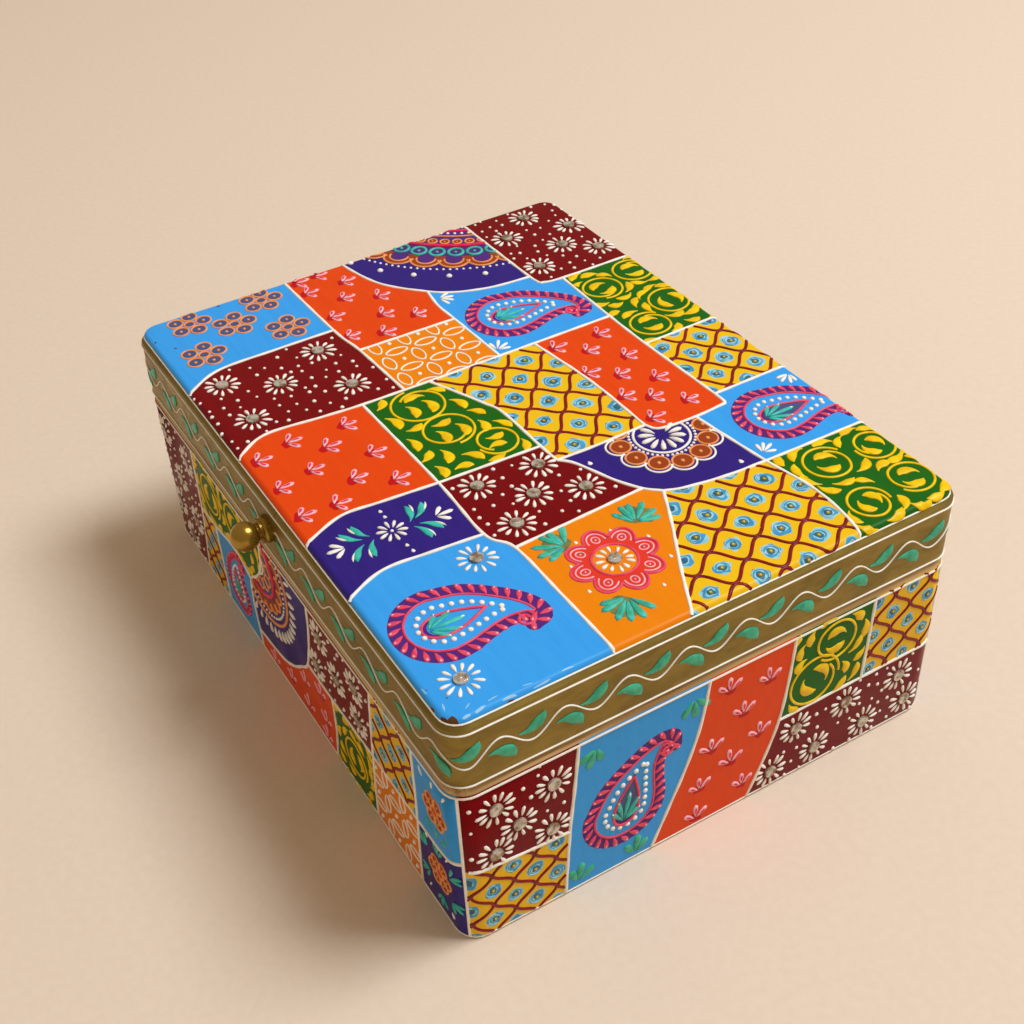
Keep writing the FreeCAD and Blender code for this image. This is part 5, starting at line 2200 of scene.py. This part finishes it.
@dataclass
class BandVine:
    """Cream lines and one leafy vine drawn on the brass all round the lid."""

    sizes: BoxSizes
    shop: PaintShop
    waves: int = 40
    crest: float = 318.7
    rise: float = 14.1
    swing: float = 4.2
    leaf_length: float = 13.5
    leaf_width: float = 5.6
    leaf_bend: float = 85.0
    upper_leaf: float = 2.9
    lower_leaf: float = -4.0
    foot_line_rise: float = 0.8
    fold_line_drop: float = 1.9
    knob_clearance: float = 8.0
    hinge_half_spacing: float = 85.0
    hinge_clearance: float = 19.0
    hinge_top: float = 18.0
    knob_level: float = 15.2

    SEED = 40
    STEP = 0.6
    VINE_HALF_WIDTH = 0.3
    LINE_HALF_WIDTH = 0.36
    LOWER_LEAF_LEAD = 1.8
    LEAF_SWAY = (-0.8, 0.8)
    LEAF_TURN = 30

    def build(self) -> None:
        """Draw on all four sides of the band, the vine running on from each to the next."""
        high = self.sizes.shoulder_top - self.sizes.shoulder
        walls = {side: self.sizes.wall(*ways, self.sizes.lid_bottom, high, 0.0)
                 for side, ways in SIDES.items()}
        pitch = sum(2 * wall.limit() for wall in walls.values()) / self.waves
        start = 0.0
        for side, wall in walls.items():
            brush = Brush(Canvas(side, wall, "lid", self.shop, []), random.Random(self.SEED))
            self.draw_side(brush, wall, (self.crest - start - wall.limit()) % pitch, pitch)
            start += 2 * wall.limit()

    def is_clear(self, side: str, u: float, level: float) -> bool:
        """Tell if a place on the band is clear of the knob and the hinges.

        Args:
            side: Side of the lid.
            u: Place along it.
            level: Height of the place above the lid's lower edge.

        Returns:
            True if paint may go there.
        """
        if side == "front":
            return math.hypot(u, level - self.knob_level) > self.knob_clearance
        if side == "back":
            aside = abs(abs(u) - self.hinge_half_spacing)
            return aside > self.hinge_clearance or level > self.hinge_top
        return True

    def draw_side(self, brush: Brush, wall: Wall, crest: float, pitch: float) -> None:
        """Draw the vine and the two lines on one side.

        Args:
            brush: Hand that paints.
            wall: Shape of the side.
            crest: Where the vine has a crest.
            pitch: Length of one wave.
        """
        side, limit = brush.canvas.name, wall.limit()
        middle = wall.low + self.rise
        u = np.linspace(-limit, limit, int(limit / self.STEP))
        vine = np.column_stack([u, middle + self.swing * np.cos(2 * math.pi * (u - crest) / pitch)])
        lines = [vine] + [np.column_stack([u, np.full_like(u, level)])
                          for level in (wall.low + self.foot_line_rise, wall.high - self.fold_line_drop)]
        half_widths = (self.VINE_HALF_WIDTH, self.LINE_HALF_WIDTH, self.LINE_HALF_WIDTH)
        for line, half_width in zip(lines, half_widths):
            clear = np.array([self.is_clear(side, a, b - wall.low) for a, b in line])
            breaks = np.flatnonzero(np.diff(clear.astype(int))) + 1
            for run, flag in zip(np.split(line, breaks), np.split(clear, breaks)):
                if flag[0] and len(run) > 2:
                    brush.line(Paint.CREAM, run, half_width)
        for wave in range(-self.waves, self.waves):
            leaves = ((pitch / 2, self.upper_leaf, 1), (self.LOWER_LEAF_LEAD, self.lower_leaf, -1))
            for along, level, way in leaves:
                u = crest + wave * pitch + along + brush.chance.uniform(*self.LEAF_SWAY)
                v = middle + level
                if -limit <= u < limit and self.is_clear(side, u, v - wall.low):
                    brush.comma(Paint.LEAF, (u, v), way * self.LEAF_TURN, self.leaf_length,
                                way * self.leaf_bend, self.leaf_width)


@dataclass
class Fittings:
    """Finishes of the pieces that come from the frame as they are."""

    wood_lengthwise: SawnWood = SawnWood("softwood_sawn_along_x", "#d2b27a", "#a67f49", (48.0, 1.8, 1.5))
    wood_crosswise: SawnWood = SawnWood("softwood_sawn_along_y", "#d2b27a", "#a67f49", (1.8, 48.0, 1.5))
    band: AntiqueBrass = AntiqueBrass("brass_sheet_antiqued_rubbed", "#967f3a", "#6c5a26", (7.0, 7.0, 2.6),
                                      roughness=0.4, contrast=0.16, relief=0.25)
    turned: AntiqueBrass = AntiqueBrass("brass_turned_polished", "#b08c3a", "#80621e", (2.5, 0.8, 2.5),
                                        roughness=0.2, contrast=0.2, relief=0.06)
    hinge: AntiqueBrass = AntiqueBrass("brass_pressed_leaf", "#a5863c", "#6f5622", (8.0, 8.0, 0.8), 0.34)
    steel: DrawnSteel = DrawnSteel("steel_wire_drawn", "#8d8f92")
    # Pale grey chip colour: painted reflection in the matt half of the mirror
    chip: MirrorGlass = MirrorGlass("mirror_glass_with_painted_reflection", "#d6d0c4", "#8a7454")

    def finish(self) -> None:
        """Give every node of the frame its material."""
        made = {part: getattr(self, part).material() for part in
                ("wood_lengthwise", "wood_crosswise", "band", "turned", "hinge", "steel", "chip")}
        for name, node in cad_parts.items():
            material = made[self.part_for(name)]
            for slot in node.material_slots:
                slot.material = material

    def part_for(self, name: str) -> str:
        """Choose the finish of a node.

        Args:
            name: Name of the node.

        Returns:
            Name of one of the finishes.
        """
        if name.endswith("_mirrors"):
            return "chip"
        if name == "lid_brass_band":
            return "band"
        if name == "knob":
            return "turned"
        if name.startswith("hinge_"):
            return "hinge"
        if name.endswith("_brads") or name.startswith("knob_"):
            return "steel"
        return "wood_crosswise" if "_left_" in name or "_right_" in name else "wood_lengthwise"


@dataclass
class Studio:
    """Pale floor, one soft light, even light all round and the camera."""

    camera_place: Heading = (447.708, -250.577, 473.842)
    azimuth: float = 60.947
    elevation: float = 39.002
    roll: float = -3.057
    lens: float = 50.63
    sensor: float = 36.0
    clip_start: float = 10.0
    floor_size: float = 6000.0
    paper: SeamlessPaper = SeamlessPaper("studio_seamless_paper", "#e6d3be", "#c9ab88")
    key_place: Heading = (700.0, 1500.0, 3000.0)
    key_size: float = 1300.0
    key_watts: float = 101.0
    key_colour: str = "#f2f8ff"
    world_colour: str = "#ffe7c8"
    world_strength: float = 0.39

    def build(self) -> None:
        """Set the floor, the lights and the camera."""
        self.lay_floor()
        self.hang_key()
        self.set_world()
        self.set_camera()

    def lay_floor(self) -> None:
        """Lay a sheet of pale seamless paper."""
        half = self.floor_size / 2 * MM
        mesh = bpy.data.meshes.new("studio_floor")
        corners = [(-half, -half, 0), (half, -half, 0), (half, half, 0), (-half, half, 0)]
        mesh.from_pydata(corners, [], [(0, 1, 2, 3)])
        mesh.materials.append(self.paper.material())
        floor = add_object("studio_floor", mesh)

    def hang_key(self) -> None:
        """Hang a square soft light that points at the box."""
        light = bpy.data.lights.new("key", "AREA")
        light.size = self.key_size * MM
        light.energy = self.key_watts
        light.color = linear(self.key_colour)[:3]
        lamp = add_object("key", light)
        lamp.location = Vector(self.key_place) * MM
        lamp.rotation_euler = (-lamp.location).to_track_quat("-Z", "Y").to_euler()

    def set_world(self) -> None:
        """Light the scene evenly from all round."""
        world = bpy.data.worlds.new("studio_world")
        world.use_nodes = True
        background = world.node_tree.nodes["Background"]
        background.inputs["Color"].default_value = linear(self.world_colour)
        background.inputs["Strength"].default_value = self.world_strength
        bpy.context.scene.world = world
        bpy.context.scene.view_settings.view_transform = "Standard"

    def set_camera(self) -> None:
        """Stand the camera where the photograph was taken from."""
        data = bpy.data.cameras.new("camera")
        data.lens = self.lens
        data.sensor_width = self.sensor
        data.clip_start = self.clip_start * MM
        camera = add_object("camera", data)
        stand = Matrix.Translation(Vector(self.camera_place) * MM)
        for degrees, axis in ((self.azimuth, "Z"), (90 - self.elevation, "X"), (self.roll, "Z")):
            stand = stand @ Matrix.Rotation(math.radians(degrees), 4, axis)
        camera.matrix_world = stand
        bpy.context.scene.camera = camera


def main() -> None:
    """Build the looks in order and report the pieces."""
    logging.basicConfig(level=logging.INFO, format="%(message)s")
    sizes = BoxSizes.from_frame()
    shop = PaintShop()
    Fittings().finish()
    films = [PaintedLid(sizes, shop).build()] + PaintedBase(sizes, shop).build()
    BandVine(sizes, shop).build()
    pieces = films + shop.build()
    for piece in pieces:
        log.info("%s: %d faces", piece.name, len(piece.data.polygons))
    Studio().build()


if __name__ == "__main__":
    main()
